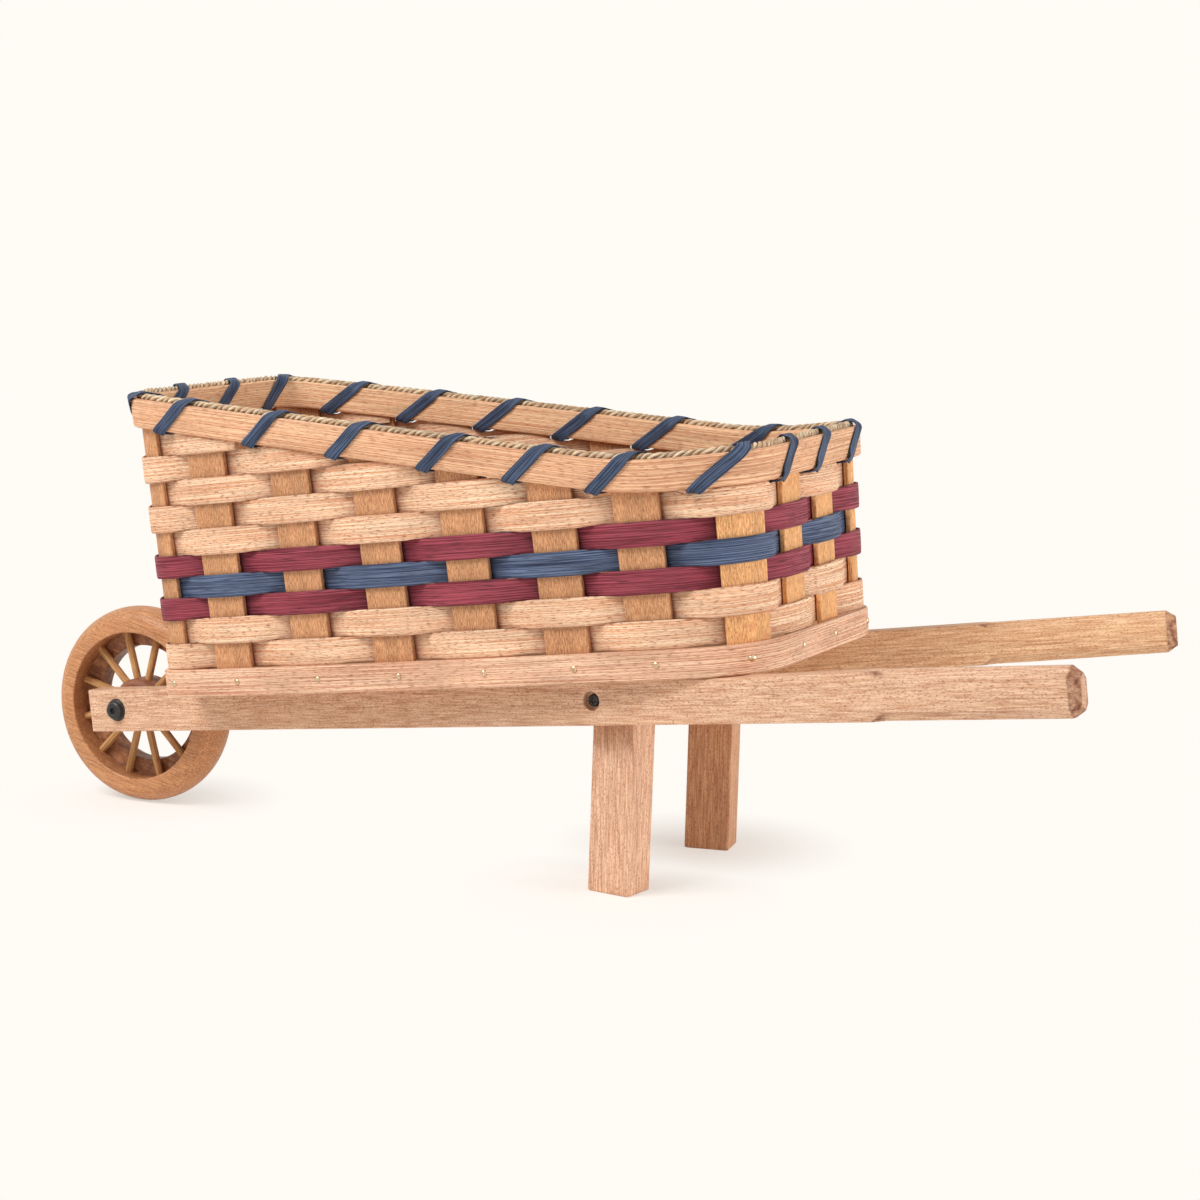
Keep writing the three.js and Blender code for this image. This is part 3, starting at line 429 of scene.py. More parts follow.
def rounded(half_width, half_height, radius, steps=5, hold=0.35):
    """Rectangle with a quarter circle at each corner, and a point just before and after it on the flat."""
    turn = np.exp(1j * np.linspace(0, np.pi / 2, steps + 1))
    corner = np.concatenate([[radius - 1j * hold], radius * turn, [1j * radius - hold]])
    w, h = half_width - radius, half_height - radius
    middles = np.array([w + 1j * h, -w + 1j * h, -w - 1j * h, w - 1j * h])
    outline = (middles[:, None] + corner[None, :] * 1j ** np.arange(4)[:, None]).ravel()
    return outline.real, outline.imag


def walk_round(*axes):
    """Millimetres walked round a closed profile, with the full length once more at the end."""
    loop = np.stack([np.append(axis, axis[0]) for axis in axes], -1)
    return np.concatenate([[0], np.cumsum(np.linalg.norm(np.diff(loop, axis=0), axis=1))])


def divided(across, out, longest):
    """Closed outline with its long sides parted evenly, so that they can bend with the plan."""
    outline = across + 1j * out
    sides = np.roll(outline, -1) - outline
    counts = np.ceil(np.abs(sides) / longest).astype(int)
    parts = [start + side * np.arange(n) / n for start, side, n in zip(outline, sides, counts)]
    outline = np.concatenate(parts)
    return outline.real, outline.imag


def far_share(t):
    """0 on the near side, 1 on the far side and an even rise across both ends."""
    return np.clip(0.5 + plan_at(t)[0][..., 1] / (2 * WHEEL_HALF), 0, 1)


def rim_top(t):
    """Height of the rim: a straight fall that turns level in a short parabola, and the lift of the far side."""
    ahead = WHEEL_END + LEVEL_FROM - plan_at(t)[0][..., 0]
    turning = np.clip(ahead + RIM_BEND, 0, 2 * RIM_BEND) ** 2 / (4 * RIM_BEND)
    fall = (RIM_WHEEL - RIM_HANDLE) / LEVEL_FROM * np.where(ahead > RIM_BEND, ahead, turning)
    return RIM_HANDLE + fall + FAR_LIFT * far_share(t)


STAKE_COUNT = (np.arange(STAKES) + 0.5) / STAKES
STAKE_SHIFT = np.zeros(STAKES)
STAKE_SHIFT[1:13] = -1.5, -7.0, -2.0, 0.0, 1.5, 3.0, -1.5, -1.5, -5.5, -9.0, -8.0, -11.0


def by_eye(count):
    """Place round the basket for an even count: the count, moved by the shifts of the stakes on both sides."""
    return count + np.interp(count, STAKE_COUNT, STAKE_SHIFT, period=1) / ROUND


SPLINT_COLOURS = {"brown": (shade(190, 129, 88), shade(226, 171, 124), shade(132, 78, 50)),
                  "golden": (shade(216, 148, 95), shade(252, 196, 134), shade(150, 90, 54))}
SPLINTS = {name: fibre_finish(f"{name} splint", *colours, line=(4.5, 0.55), fleck=(2.2, 0.5), fleck_share=0.6,
                              tone=(0.84, 1.08), relief=0.35) for name, colours in SPLINT_COLOURS.items()}
GOLDEN_STAKES = range(8, 13)
across, out = divided(*rounded(STAKE_WIDTH / 2, STAKE_THICK / 2, STAKE_EASE), STAKE_STEP)
share = np.linspace(0, 1, 14)[:, None]
for number in range(STAKES):
    t = by_eye(STAKE_COUNT[number]) + across / ROUND
    top = rim_top(t) + CORD_RISE - CORD_RADIUS - PLAY
    points = wall(t[None, :], out[None, :], PLAY + share * (top - PLAY)[None, :])
    lay = grid_lay(share[:, 0] * top.mean() + 310 * number, walk_round(across, out) + 47 * number)
    splint = SPLINTS["golden" if number in GOLDEN_STAKES else "brown"]
    make_piece(f"splint_{number + 1:02d}", points, splint, nodes=[f"stake_{number + 1:02d}"],
               lay=lay)

# %% [markdown]
# ## Woven rows
# Flat reed goes outside one stake and inside the next, and the next row does the opposite. A reed is a
# flattened oval: its faces are gently round and its edges soft. Over a stake it bows out a little more in
# the middle, and between two stakes it runs straight through the wall. The rows above the sixth are short:
# they go round the wheel end only and taper off under the sloping rim. Across the wheel end, and on the far
# side where the rim is higher, the rows are spread a little, so that the last one closes up to it. The ends of
# a full row meet behind a stake, where they are out of sight. Under the rim the rows leave a small slot for
# each turn of the lashing, so the places of the turns are noted here too.

# %% Reed finishes and the rows
REED_THICK, ROW_GAP, HOOP_TOP, BAND_HEIGHT, LASH_SLOT = 1.5, 0.6, 16.5, 17.5, 1.7
REED_STAND, REED_SWELL, REED_ARCH = STAKE_THICK / 2 + 0.4 + REED_THICK / 2, 0.5, 0.7
TIP_HEIGHT, TIP_THIN, FULL_ROOM, ROW_STEP, ROW_WANDER = 2.0, 1.2, 4.0, 1.6, 0.16
WHEEL_SPREAD, SPREAD_END, SPREAD_FADE, FAR_SPREAD = 0.04, 0.075, 0.035, 0.07
# Each reed finish mixes painted shade into its colour where its mark says, by the last share given.
NATURAL = fibre_finish("natural reed", shade(219, 156, 117), shade(253, 221, 186), shade(138, 73, 52),
                       line=(90.0, 0.62), fleck=(4.0, 0.45), fleck_share=0.75, tone=(0.9, 1.1),
                       relief=0.4, crevice_shade_share=0.75)
DYED = {"line": (80.0, 0.6), "fleck": (16.0, 0.5), "fleck_share": 0.75, "tone": (0.8, 1.1),
        "relief": 0.45, "crevice_shade_share": 0.75}
RED = fibre_finish("red reed", shade(116, 33, 48), shade(172, 74, 90), shade(62, 17, 28), **DYED)
BLUE = fibre_finish("blue reed", shade(48, 60, 90), shade(104, 120, 150), shade(26, 32, 50), **DYED)
natural, red, blue = ("natural_reed", NATURAL, 14.2), ("red_reed", RED, 12.0), ("blue_reed", BLUE, 12.0)
ROWS = [natural] * 2 + [red, blue, red] + [natural] * 5


def smooth_step(value):
    """Eased rise from 0 to 1: three squares less two cubes."""
    value = np.clip(value, 0, 1)
    return value * value * (3 - 2 * value)


def stake_side(count, row):
    """Side on which a reed passes the nearest stake, 1 outside or -1 inside, and the way to its middle."""
    place = count * STAKES - 0.5
    nearest = np.round(place)
    return np.where((nearest + row) % 2 == 0, -1.0, 1.0), np.abs(place - nearest) * ROUND / STAKES


def weave(count, row):
    """Distance of a reed from the stakes' middle: an arch over each stake, half a cosine wave to the next."""
    over, away = stake_side(count, row)
    past = np.maximum(away - STAKE_WIDTH / 2, 0)
    arch = REED_ARCH * np.clip(1 - (2 * away / STAKE_WIDTH) ** 2, 0, 1)
    return over * (REED_STAND * np.cos(np.pi * past / (ROUND / STAKES - STAKE_WIDTH)) + arch)


def flat_oval(columns, power):
    """Oval pressed flat: cosine and sine, each raised to 2/power and keeping its sign."""
    angle = np.linspace(0, 2 * np.pi, columns, endpoint=False) + np.pi / columns
    press = 2 / power
    return (np.sign(np.cos(angle)) * np.abs(np.cos(angle)) ** press,
            np.sign(np.sin(angle)) * np.abs(np.sin(angle)) ** press)


BAND_GAP, SLOT_HALF = 0.2, 5.0
LASH_SHIFT = np.full(STAKES + 1, 6.5)
LASH_SHIFT[2:13] = -8.5, 2.0, 5.0, 10.0, 8.5, 3.0, 4.0, -4.0, -6.5, -7.5, 0.0


def weave_limit(t):
    """Top of the weave: close under the rim bands, lower by a slot where the lashing goes through the wall."""
    passes = np.arange(STAKES + 1) * ROUND / STAKES + LASH_SHIFT
    passing = np.abs((np.mod(t, 1) * ROUND)[..., None] - passes).min(-1)
    return rim_top(t) - BAND_HEIGHT - BAND_GAP - LASH_SLOT * (1 - smooth_step(passing / SLOT_HALF - 1))


def row_height(plain, t):
    """Height of a row's edge: the plain height over the hoop, stretched at the wheel end and the far side."""
    wheel_end = smooth_step((SPREAD_END - np.abs(t)) / SPREAD_FADE)
    return HOOP_TOP + (plain - HOOP_TOP) * (1 + WHEEL_SPREAD * wheel_end + FAR_SPREAD * far_share(t))


face, edge = flat_oval(24, 5.0)
walk = np.linspace(-0.5, 0.5, 4001)
low = HOOP_TOP + ROW_GAP
for row, (slot, finish, width) in enumerate(ROWS):
    ring = bool(weave_limit(np.array(0.5)) > low + FULL_ROOM)
    room = walk[weave_limit(walk) > row_height(low, walk) + TIP_HEIGHT]
    start, end = (-0.5, 0.5) if ring else (room.min(), room.max())
    count = np.linspace(start, end, int((end - start) * ROUND / ROW_STEP), endpoint=not ring)
    count = count + (-1) ** row * 0.5 / STAKES if ring else count
    t = by_eye(count)
    swell = 0.4 * ROW_GAP + REED_SWELL * smooth_step((np.abs(weave(count, row)) - 1.0) / 1.5)
    bottom = row_height(low, t) - swell + ROW_WANDER * drift(t, row + 1, 9)
    bottom = np.maximum(bottom, HOOP_TOP + 0.05)
    high = row_height(low + width, t) + swell + ROW_WANDER * drift(t, row + 5, 11)
    high = np.maximum(np.minimum(high, weave_limit(t)), bottom + TIP_THIN)
    middle, half = (high + bottom) / 2, (high - bottom) / 2
    heights = middle[:, None] + half[:, None] * edge[None, :]
    points = wall(t[:, None], weave(count, row)[:, None] + face[None, :] * REED_THICK / 2, heights)
    # Painted shade: the face of a reed darkens where it dives behind a stake, and along its top and bottom
    # edges between the rows.
    over, away = stake_side(count, row)
    beside = np.exp(-np.maximum(away - STAKE_WIDTH / 2, 0) / 3.0)[:, None]
    stake_shade = np.where(face[None, :] * over[:, None] < 0, beside, 0.0)
    crevice_shade = np.maximum(stake_shade, 0.5 * np.abs(edge[None, :]) ** 10)
    strand = np.broadcast_to(t[:, None] * ROUND + 913 * row, heights.shape)
    lay = np.stack([strand, heights + face * REED_THICK + 31 * row], -1)
    lay = np.concatenate([lay, lay[:, :1]], 1)
    lay = np.concatenate([lay, lay[:1] + [ROUND, 0]]) if ring else lay
    make_piece(f"reed_{row + 1:02d}", points, finish, nodes=[f"weaver_{row + 1:02d}"], ring=ring,
               lay=lay, marks={"crevice_shade": crevice_shade})
    low += width + ROW_GAP

# %% [markdown]
# ## Base hoop and its tacks
# A wide hoop of pinkish wood is wrapped round the feet of the stakes and tacked to the floor with small
# brass tacks, one to a stake. The hoop is a ring with a softened rectangle as its profile. A tack is a
# shallow dome turned from a quarter of an ellipse, repeated with one array operation.

# %% Hoop
HOOP_THICK, HOOP_EASE = 4.5, 1.3
FACE = STAKE_THICK / 2 + PLAY
HOOP_WOOD = fibre_finish("hoop wood", shade(202, 144, 112), shade(250, 210, 178), shade(144, 82, 60),
                         line=(120.0, 0.62), fleck=(5.0, 0.45), fleck_share=0.7, tone=(0.88, 1.1), relief=0.4)
thick, tall = rounded(HOOP_THICK / 2, (HOOP_TOP - PLAY) / 2, HOOP_EASE)
t = np.linspace(0, 1, 620, endpoint=False)
points = wall(t[:, None], FACE + HOOP_THICK / 2 + thick[None, :], (HOOP_TOP + PLAY) / 2 + tall[None, :])
make_piece("hoop_band", points, HOOP_WOOD, nodes=["base_hoop"], ring=True,
           lay=grid_lay(np.append(t, 1) * ROUND + 77, walk_round(thick, tall)))

# %% Brass tacks
def metal_finish(name, colour, rubbed, metallic, rough):
    """Metal whose colour and gloss drift with a fine noise in Object coordinates, as handling leaves it."""
    finish, tree = new_finish(name)
    place = add(tree, "ShaderNodeTexCoord").outputs["Object"]
    noise = add(tree, "ShaderNodeTexNoise", {"Vector": place, "Scale": 900.0, "Detail": 3.0}).outputs[0]
    spots = add(tree, "ShaderNodeMapRange", {0: noise, 1: 0.35, 2: 0.7}).outputs[0]
    dull = add(tree, "ShaderNodeMapRange", {0: noise, 3: rough[0], 4: rough[1]}).outputs[0]
    skin_over(tree, mixed(tree, spots, colour, rubbed), dull, noise, 0.08, 0.0002, {"Metallic": metallic})
    return finish


BRASS = metal_finish("brass", shade(196, 160, 122), shade(234, 212, 182), 1.0, (0.16, 0.32))
TACK_RADIUS, TACK_RISE, TACK_HIGH = 1.9, 1.1, 8.6
swing = np.linspace(0, 2 * np.pi, 16, endpoint=False)
rise = np.linspace(0.02, np.pi / 2, 6)
dome_radius = np.append(TACK_RADIUS * np.sin(rise), 0.8 * TACK_RADIUS)
dome_height = np.append(TACK_RISE * np.cos(rise), -0.3)
TACK_SHIFT = np.full(STAKES, 5.0)
TACK_SHIFT[7:12] = 3.5, -3.0, -4.5, -5.0, -4.0
tack_t = by_eye(STAKE_COUNT) + TACK_SHIFT / ROUND
tack_t = tack_t[:, None, None] + dome_radius[None, :, None] * np.cos(swing) / ROUND
tack_high = TACK_HIGH + dome_radius[None, :, None] * np.sin(swing)
tack_out = FACE + HOOP_THICK + dome_height[None, :, None]
make_piece("hoop_tacks", wall(tack_t, tack_out, tack_high), BRASS)

# %% [markdown]
# ## Rim bands
# Two bands of smooth half-round wood clamp the tops of the stakes, one outside and one inside. Each has a
# softly rounded outer side and a groove along its inner top edge in which the cord lies. The profile is a
# short list of corners, each replaced by a small curve, and it rides round the wall at the rim's height. The
# inner band is painted paler than the outer one: painted light, for the light that falls into the basket.

# %% Softened corners, and the two bands
BAND_THICK, BAND_EASE, GROOVE_DEEP, GROOVE_WIDE = 4.5, 1.9, 3.0, 2.1


def soften(corners, cuts, steps=6):
    """Closed outline with round corners: each is a quadratic curve from side to side, guided by the corner."""
    corners, cuts = np.array(corners, float), np.array(cuts, float)[:, None]
    before = np.roll(corners, 1, axis=0) - corners
    after = np.roll(corners, -1, axis=0) - corners
    start = corners + cuts * before / np.linalg.norm(before, axis=1, keepdims=True)
    end = corners + cuts * after / np.linalg.norm(after, axis=1, keepdims=True)
    s = np.linspace(0, 1, steps)[None, :, None]
    curve = (1 - s) ** 2 * start[:, None] + 2 * s * (1 - s) * corners[:, None] + s**2 * end[:, None]
    return curve.reshape(-1, 2).T


# The inner band's colours are paler: painted light on the inside of the basket.
BAND_COLOURS = {1: (shade(206, 146, 108), shade(246, 200, 160), shade(156, 88, 60)),
                -1: (shade(222, 160, 118), shade(255, 214, 170), shade(170, 98, 66))}
stand, drop = soften(
    [(FACE, -BAND_HEIGHT), (FACE + BAND_THICK, -BAND_HEIGHT), (FACE + BAND_THICK, 0), (FACE + GROOVE_WIDE, 0),
     (FACE, -GROOVE_DEEP)], [0.5, BAND_EASE, BAND_EASE, 0.3, 0.5])
for name, node, sign in (("rim_band_outside", "rim_outer", 1), ("rim_band_inside", "rim_inner", -1)):
    wood = fibre_finish(f"{name} wood", *BAND_COLOURS[sign], line=(130.0, 0.65), fleck=(6.0, 0.45),
                        fleck_share=0.7, tone=(0.9, 1.1), relief=0.4)
    points = wall(t[:, None], sign * stand[None, :], rim_top(t)[:, None] + drop[None, :])
    make_piece(name, points, wood, nodes=[node], ring=True,
               lay=grid_lay(np.append(t, 1) * ROUND + 400 * sign, walk_round(stand, drop)))

# %% [markdown]
# ## Cord on the rim
# Between the bands lies a cord of seagrass, three thin plies twisted together. A bump could hint at the
# twist, but its outline shows against the inside of the basket, so each ply is a real tube: its middle
# goes round the cord's middle once every few millimetres, and its thickness drifts a little.

# %% Seagrass cord
SEAGRASS = fibre_finish("seagrass", shade(212, 172, 130), shade(248, 228, 196), shade(124, 86, 58),
                        line=(9.0, 2.2), fleck=(6.0, 0.5), fleck_share=0.6, tone=(0.72, 1.16),
                        relief=0.5, crevice_shade_share=0.7)
PLIES, PLY_RADIUS, PLY_SIDES, CORD_STEPS, TWIST_LENGTH = 3, 1.5, 10, 1500, 13.0
TWISTS = round(ROUND / TWIST_LENGTH)
t = np.linspace(0, 1, CORD_STEPS, endpoint=False)[None, :, None]
ply = np.arange(PLIES)[:, None, None]
swing = np.linspace(0, 2 * np.pi, PLY_SIDES, endpoint=False)[None, None, :]
twist = 2 * np.pi * (TWISTS * t + ply / PLIES + 0.12 * drift(t, 9.0, 31))
swell = 1 + 0.13 * drift(t, 2.0 + ply, 60)
orbit = CORD_RADIUS + 0.2 - PLY_RADIUS
cord_out = orbit * np.cos(twist) + PLY_RADIUS * swell * np.cos(swing)
cord_up = orbit * np.sin(twist) + PLY_RADIUS * swell * np.sin(swing)
points = wall(t, cord_out, rim_top(t) + CORD_RISE + cord_up)
# Painted shade: each ply darkens where it turns in towards the middle of the cord, in the crevices between the
# plies.
depth = np.clip(1.15 - np.hypot(cord_out, cord_up) / CORD_RADIUS, 0, 0.6) / 0.6
along = np.linspace(0, 1, CORD_STEPS + 1) * ROUND * 1.2
lay = grid_lay(along, np.linspace(0, 1, PLY_SIDES + 1) * 2 * np.pi * PLY_RADIUS)
lay = lay + np.array([333.0, 57.0]) * np.arange(PLIES)[:, None, None, None]
make_piece("rim_cord", points, SEAGRASS, nodes=["rim_filler"], ring=True, lay=lay,
           marks={"crevice_shade": depth})

# %% [markdown]
# ## Lashing
# One long dyed strip binds it all: it climbs the outer band at a slant, crosses the cord, runs down the
# inner band and comes back out through the wall between two stakes, twenty times. The turn is written as
# steps of advance, place and facing, and each turn is moved along the rim by its own shift, as the hand left
# it; the way down the inner band leads over to the next shift. Straight pieces between the steps would look
# folded, so the whole path is walked evenly and averaged over a few millimetres, as a damp strip settles.

# %% Path of the lashing
LASH_WIDTH, LASH_THICK, LASH_GAP, LASH_SLANT, LASH_OVER = 7.4, 1.0, 0.3, 18.0, 14.0


def lash_turn():
    """Advance along the rim, distance out, height over the bands, and the facing (out, up) of one turn."""
    gap = ROUND / STAKES
    side = FACE + BAND_THICK + LASH_GAP + LASH_THICK / 2
    under, shoulder = -BAND_HEIGHT - LASH_GAP - LASH_THICK, -1.6
    crown = CORD_RISE + CORD_RADIUS + 2 * LASH_GAP + LASH_THICK / 2
    edge_out, edge_up = side - 1.6, 2 * LASH_GAP + LASH_THICK
    climb = np.linspace(0, 1, 5)
    down = np.linspace(0, 1, 6)
    over = LASH_SLANT + LASH_OVER * np.array([0.25, 0.5, 0.75])
    crossed = LASH_SLANT + LASH_OVER
    advance = np.concatenate([LASH_SLANT * climb, over, crossed + (gap - crossed) * down])
    out = np.concatenate([np.full(5, side), [edge_out, 0, -edge_out], np.full(6, -side)])
    rising, falling = under + (shoulder - under) * climb, shoulder + (under - shoulder) * down
    high = np.concatenate([rising, [edge_up, crown, edge_up], falling])
    face_out = np.concatenate([np.ones(5), [1, 0, -1], -np.ones(6)])
    face_up = np.concatenate([[-1, 0, 0, 0, 0], [1.6, 1, 1.6], [0, 0, 0, 0, 0, -1]])
    return advance, out, high, face_out, face_up


def rim_directions(t):
    """Out of the wall, and up from the sloping rim: square to out and to a millimetre of the rim's walk."""
    step = 0.5 / ROUND
    along = wall(t + step, 0.0, rim_top(t + step)) - wall(t - step, 0.0, rim_top(t - step))
    normal = plan_at(t)[1]
    out = to_world(normal[..., 0], normal[..., 1], 0.0) - to_world(0.0, 0.0, 0.0)
    up = np.cross(out, along)
    up = up / np.linalg.norm(up, axis=-1, keepdims=True)
    return out, np.where(up[..., 2:] < 0, -up, up)


def bridge(t, out):
    """How far a hollow corner closes in on the flat strip within its own width: there the strip stands off."""
    high, reach = rim_top(t), LASH_WIDTH / ROUND
    here = wall(t, out, high)
    facing = rim_directions(t)[0] * np.sign(out)[:, None]
    rises = [np.einsum("ij,ij->i", wall(t + shift, out, high) - here, facing) for shift in (-reach, reach)]
    return np.maximum(0, np.maximum(*rises))


advance, out, high, face_out, face_up = (np.tile(column, STAKES) for column in lash_turn())
turn_number = np.repeat(np.arange(STAKES), len(advance) // STAKES)
descent = np.clip((advance - LASH_SLANT - LASH_OVER) / (ROUND / STAKES - LASH_SLANT - LASH_OVER), 0, 1)
shift = LASH_SHIFT[turn_number] + descent * np.diff(LASH_SHIFT)[turn_number]
t = turn_number / STAKES + (advance + shift) / ROUND
stem = wall(t, out + np.sign(out) * bridge(t, out), rim_top(t) + high)
rim_out, rim_up = rim_directions(t)
facing = rim_out * face_out[:, None] + rim_up * face_up[:, None]
facing = facing / np.linalg.norm(facing, axis=1, keepdims=True)
print("lashing path of", len(stem), "steps")

# %% Lashing strip
def settle(values, reach):
    """Running mean over a window of samples, with the ends held."""
    padded = np.pad(values, ((reach, reach), (0, 0)), mode="edge")
    total = np.cumsum(np.vstack([np.zeros((1, values.shape[1])), padded]), axis=0)
    return (total[2 * reach + 1:] - total[: -2 * reach - 1]) / (2 * reach + 1)


strip_walk = np.concatenate([[0], np.cumsum(np.linalg.norm(np.diff(stem, axis=0), axis=1))])
even = np.linspace(0, strip_walk[-1], int(strip_walk[-1] / 0.75))
middle = np.stack([np.interp(even, strip_walk, stem[:, axis]) for axis in range(3)], -1)
normal = np.stack([np.interp(even, strip_walk, facing[:, axis]) for axis in range(3)], -1)
middle, normal = settle(middle, 2), settle(normal, 4)
along = np.gradient(middle, axis=0)
along = along / np.linalg.norm(along, axis=1, keepdims=True)
across = np.cross(along, normal)
across = across / np.linalg.norm(across, axis=1, keepdims=True)
normal = np.cross(across, along)
side, face = flat_oval(16, 4.0)
points = (middle[:, None] + across[:, None] * (side * LASH_WIDTH / 2)[None, :, None]
          + normal[:, None] * (face * LASH_THICK / 2)[None, :, None])
DYED_STRIP = fibre_finish("dyed lashing", shade(37, 48, 70), shade(80, 97, 127), shade(24, 29, 44),
                          line=(40.0, 0.7), fleck=(12.0, 0.5), fleck_share=0.7, tone=(0.82, 1.1), relief=0.45)
print("lashing strip of", round(float(strip_walk[-1])), "mm")
make_piece("rim_lash", points, DYED_STRIP, nodes=["rim_lashing"],
           lay=grid_lay(even, walk_round(side * LASH_WIDTH / 2, face * LASH_THICK / 2)))

# %% [markdown]
# ## Wood grain, for rails, legs, floor and wheel
# Sawn and turned wood shows broad bands of growth, fine lines along the grain and tiny dark pores. Unlike
# split reed its pattern runs through the whole block, so this group works on the place in the block, turned
# so that the grain lies along X. The same group serves all the solid wood, with other colours and turns.

# %% Wood grain group
def wood_grain():
    """Noises of the place in millimetres, long along X and narrow across it: bands, lines and pores."""
    tree = bpy.data.node_groups.new("wood grain", "ShaderNodeTree")
    tree.interface.new_socket("Place", in_out="INPUT", socket_type="NodeSocketVector")
    for name in ("Bands", "Lines", "Pores", "Height"):
        tree.interface.new_socket(name, in_out="OUTPUT", socket_type="NodeSocketFloat")
    given = tree.nodes.new("NodeGroupInput").outputs
    result = tree.nodes.new("NodeGroupOutput").inputs

    def stretched(length, width, low, high, detail):
        size = (length, width, width)
        place = add(tree, "ShaderNodeVectorMath", {0: given["Place"], 1: size}, operation="DIVIDE").outputs[0]
        shape = {"Scale": 1.0, "Detail": detail, "Roughness": 0.6, "Distortion": 0.3}
        noise = add(tree, "ShaderNodeTexNoise", {"Vector": place, **shape}).outputs[0]
        return add(tree, "ShaderNodeMapRange", {0: noise, 1: low, 2: high}).outputs[0]

    bands = stretched(130.0, 9.0, 0.32, 0.68, 2.0)
    lines = stretched(18.0, 0.9, 0.34, 0.66, 3.0)
    pores = stretched(1.5, 0.55, 0.53, 0.66, 1.5)
    height = worked(tree, "SUBTRACT", lines, pores)
    for name, socket in (("Bands", bands), ("Lines", lines), ("Pores", pores), ("Height", height)):
        tree.links.new(socket, result[name])
    return tree


WOOD_GRAIN = wood_grain()
WOOD_RELIEF, WOOD_DEPTH, WOOD_GLOSS, BAND_SHARE = 0.2, 0.0003, 0.35, 0.8


def wood_finish(name, middle, light, dark, turn, shift, pore_share=0.55, silk_share=0.85,
                rough=(0.45, 0.62), stain_and_shade=None):
    """Colour: middle to deep by the bands, to light by the lines, to dark in the pores.
    Where its mark says, it goes on to the given colour in blotches: real stain on rails, painted shade in the
    wheel."""
    finish, tree = new_finish(name)
    place = add(tree, "ShaderNodeTexCoord").outputs["Object"]
    placed = add(tree, "ShaderNodeMapping", {"Vector": place, "Location": shift, "Rotation": turn},
                 vector_type="TEXTURE").outputs[0]
    sized = add(tree, "ShaderNodeVectorMath", {0: placed, 3: 1 / MM}, operation="SCALE").outputs[0]
    grain = add(tree, "ShaderNodeGroup", {"Place": sized}, node_tree=WOOD_GRAIN).outputs
    deep = tuple(0.45 * a + 0.55 * b for a, b in zip(dark, middle))
    growth = mixed(tree, worked(tree, "MULTIPLY", grain["Bands"], BAND_SHARE), middle, deep)
    silk = mixed(tree, worked(tree, "MULTIPLY", grain["Lines"], silk_share), growth, light)
    tint = mixed(tree, worked(tree, "MULTIPLY", grain["Pores"], pore_share), silk, dark)
    if stain_and_shade:
        mark = add(tree, "ShaderNodeAttribute", attribute_name="stain_and_shade").outputs["Fac"]
        patch = add(tree, "ShaderNodeTexNoise", {"Vector": sized, "Scale": 0.28, "Detail": 4.0}).outputs[0]
        blotch = add(tree, "ShaderNodeMapRange", {0: patch, 1: 0.35, 2: 0.62, 3: 0.35, 4: 1.0}).outputs[0]
        tint = mixed(tree, worked(tree, "MULTIPLY", mark, blotch), tint, stain_and_shade)
    dull = add(tree, "ShaderNodeMapRange", {0: grain["Lines"], 3: rough[1], 4: rough[0]}).outputs[0]
    skin_over(tree, tint, dull, grain["Height"], WOOD_RELIEF, WOOD_DEPTH, {"Specular IOR Level": WOOD_GLOSS})
    return finish


print("wood group sockets:", [item.name for item in WOOD_GRAIN.interface.items_tree])

# %% [markdown]
# ## Rails and handles
# Each rail is one stick of square stock, splayed outwards and tapering towards the hand. For its last hand's
# width the corners are planed away to a soft octagon, and the stain lies darker where the plane stopped and
# round the end. The stick is a row of sections whose corner cut grows in the middle of a smooth step. No two
# handles made by hand are the same: the near one is a little longer and higher, the far one more golden.
# Two holes, the counterbore of the leg screw and the seat of the wheel's bolt, are real drillings, made
# with a Boolean that is applied at once.

# %% Rail sections
SPLAY, RAIL_THICK, RAIL_NOSE, RAIL_SPREAD = np.radians(8.9), 14.0, 24.5, 15.5
NOSE_HEIGHT, HANDLE_FALL, HANDLE_LENGTH, HANDLE_CUT, HANDLE_STOP = 27.2, 4.4 / 672.5, 112.0, 5.0, 9.0
END_RUN, END_BEVEL, END_RINGS, EASE = 5.5, 3.4, (1.2, 2.6), 0.9
RAIL_REACH, HANDLE_LIFT, HANDLE_DROP = {-1: 651.0, 1: 645.2}, {-1: 2.4, 1: 0.0}, {-1: 0.0, 1: 0.9}
GROW_FROM, GROW_OVER = 455.0, 110.0


def rail_to_world(sign, along, outward, high):
    """From a rail's own lengths to the world: turn by the splay, move to its side, then onto the slope."""
    angle = sign * SPLAY
    y = sign * outward
    return to_world(along * np.cos(angle) - y * np.sin(angle),
                    sign * RAIL_SPREAD + along * np.sin(angle) + y * np.cos(angle), high)


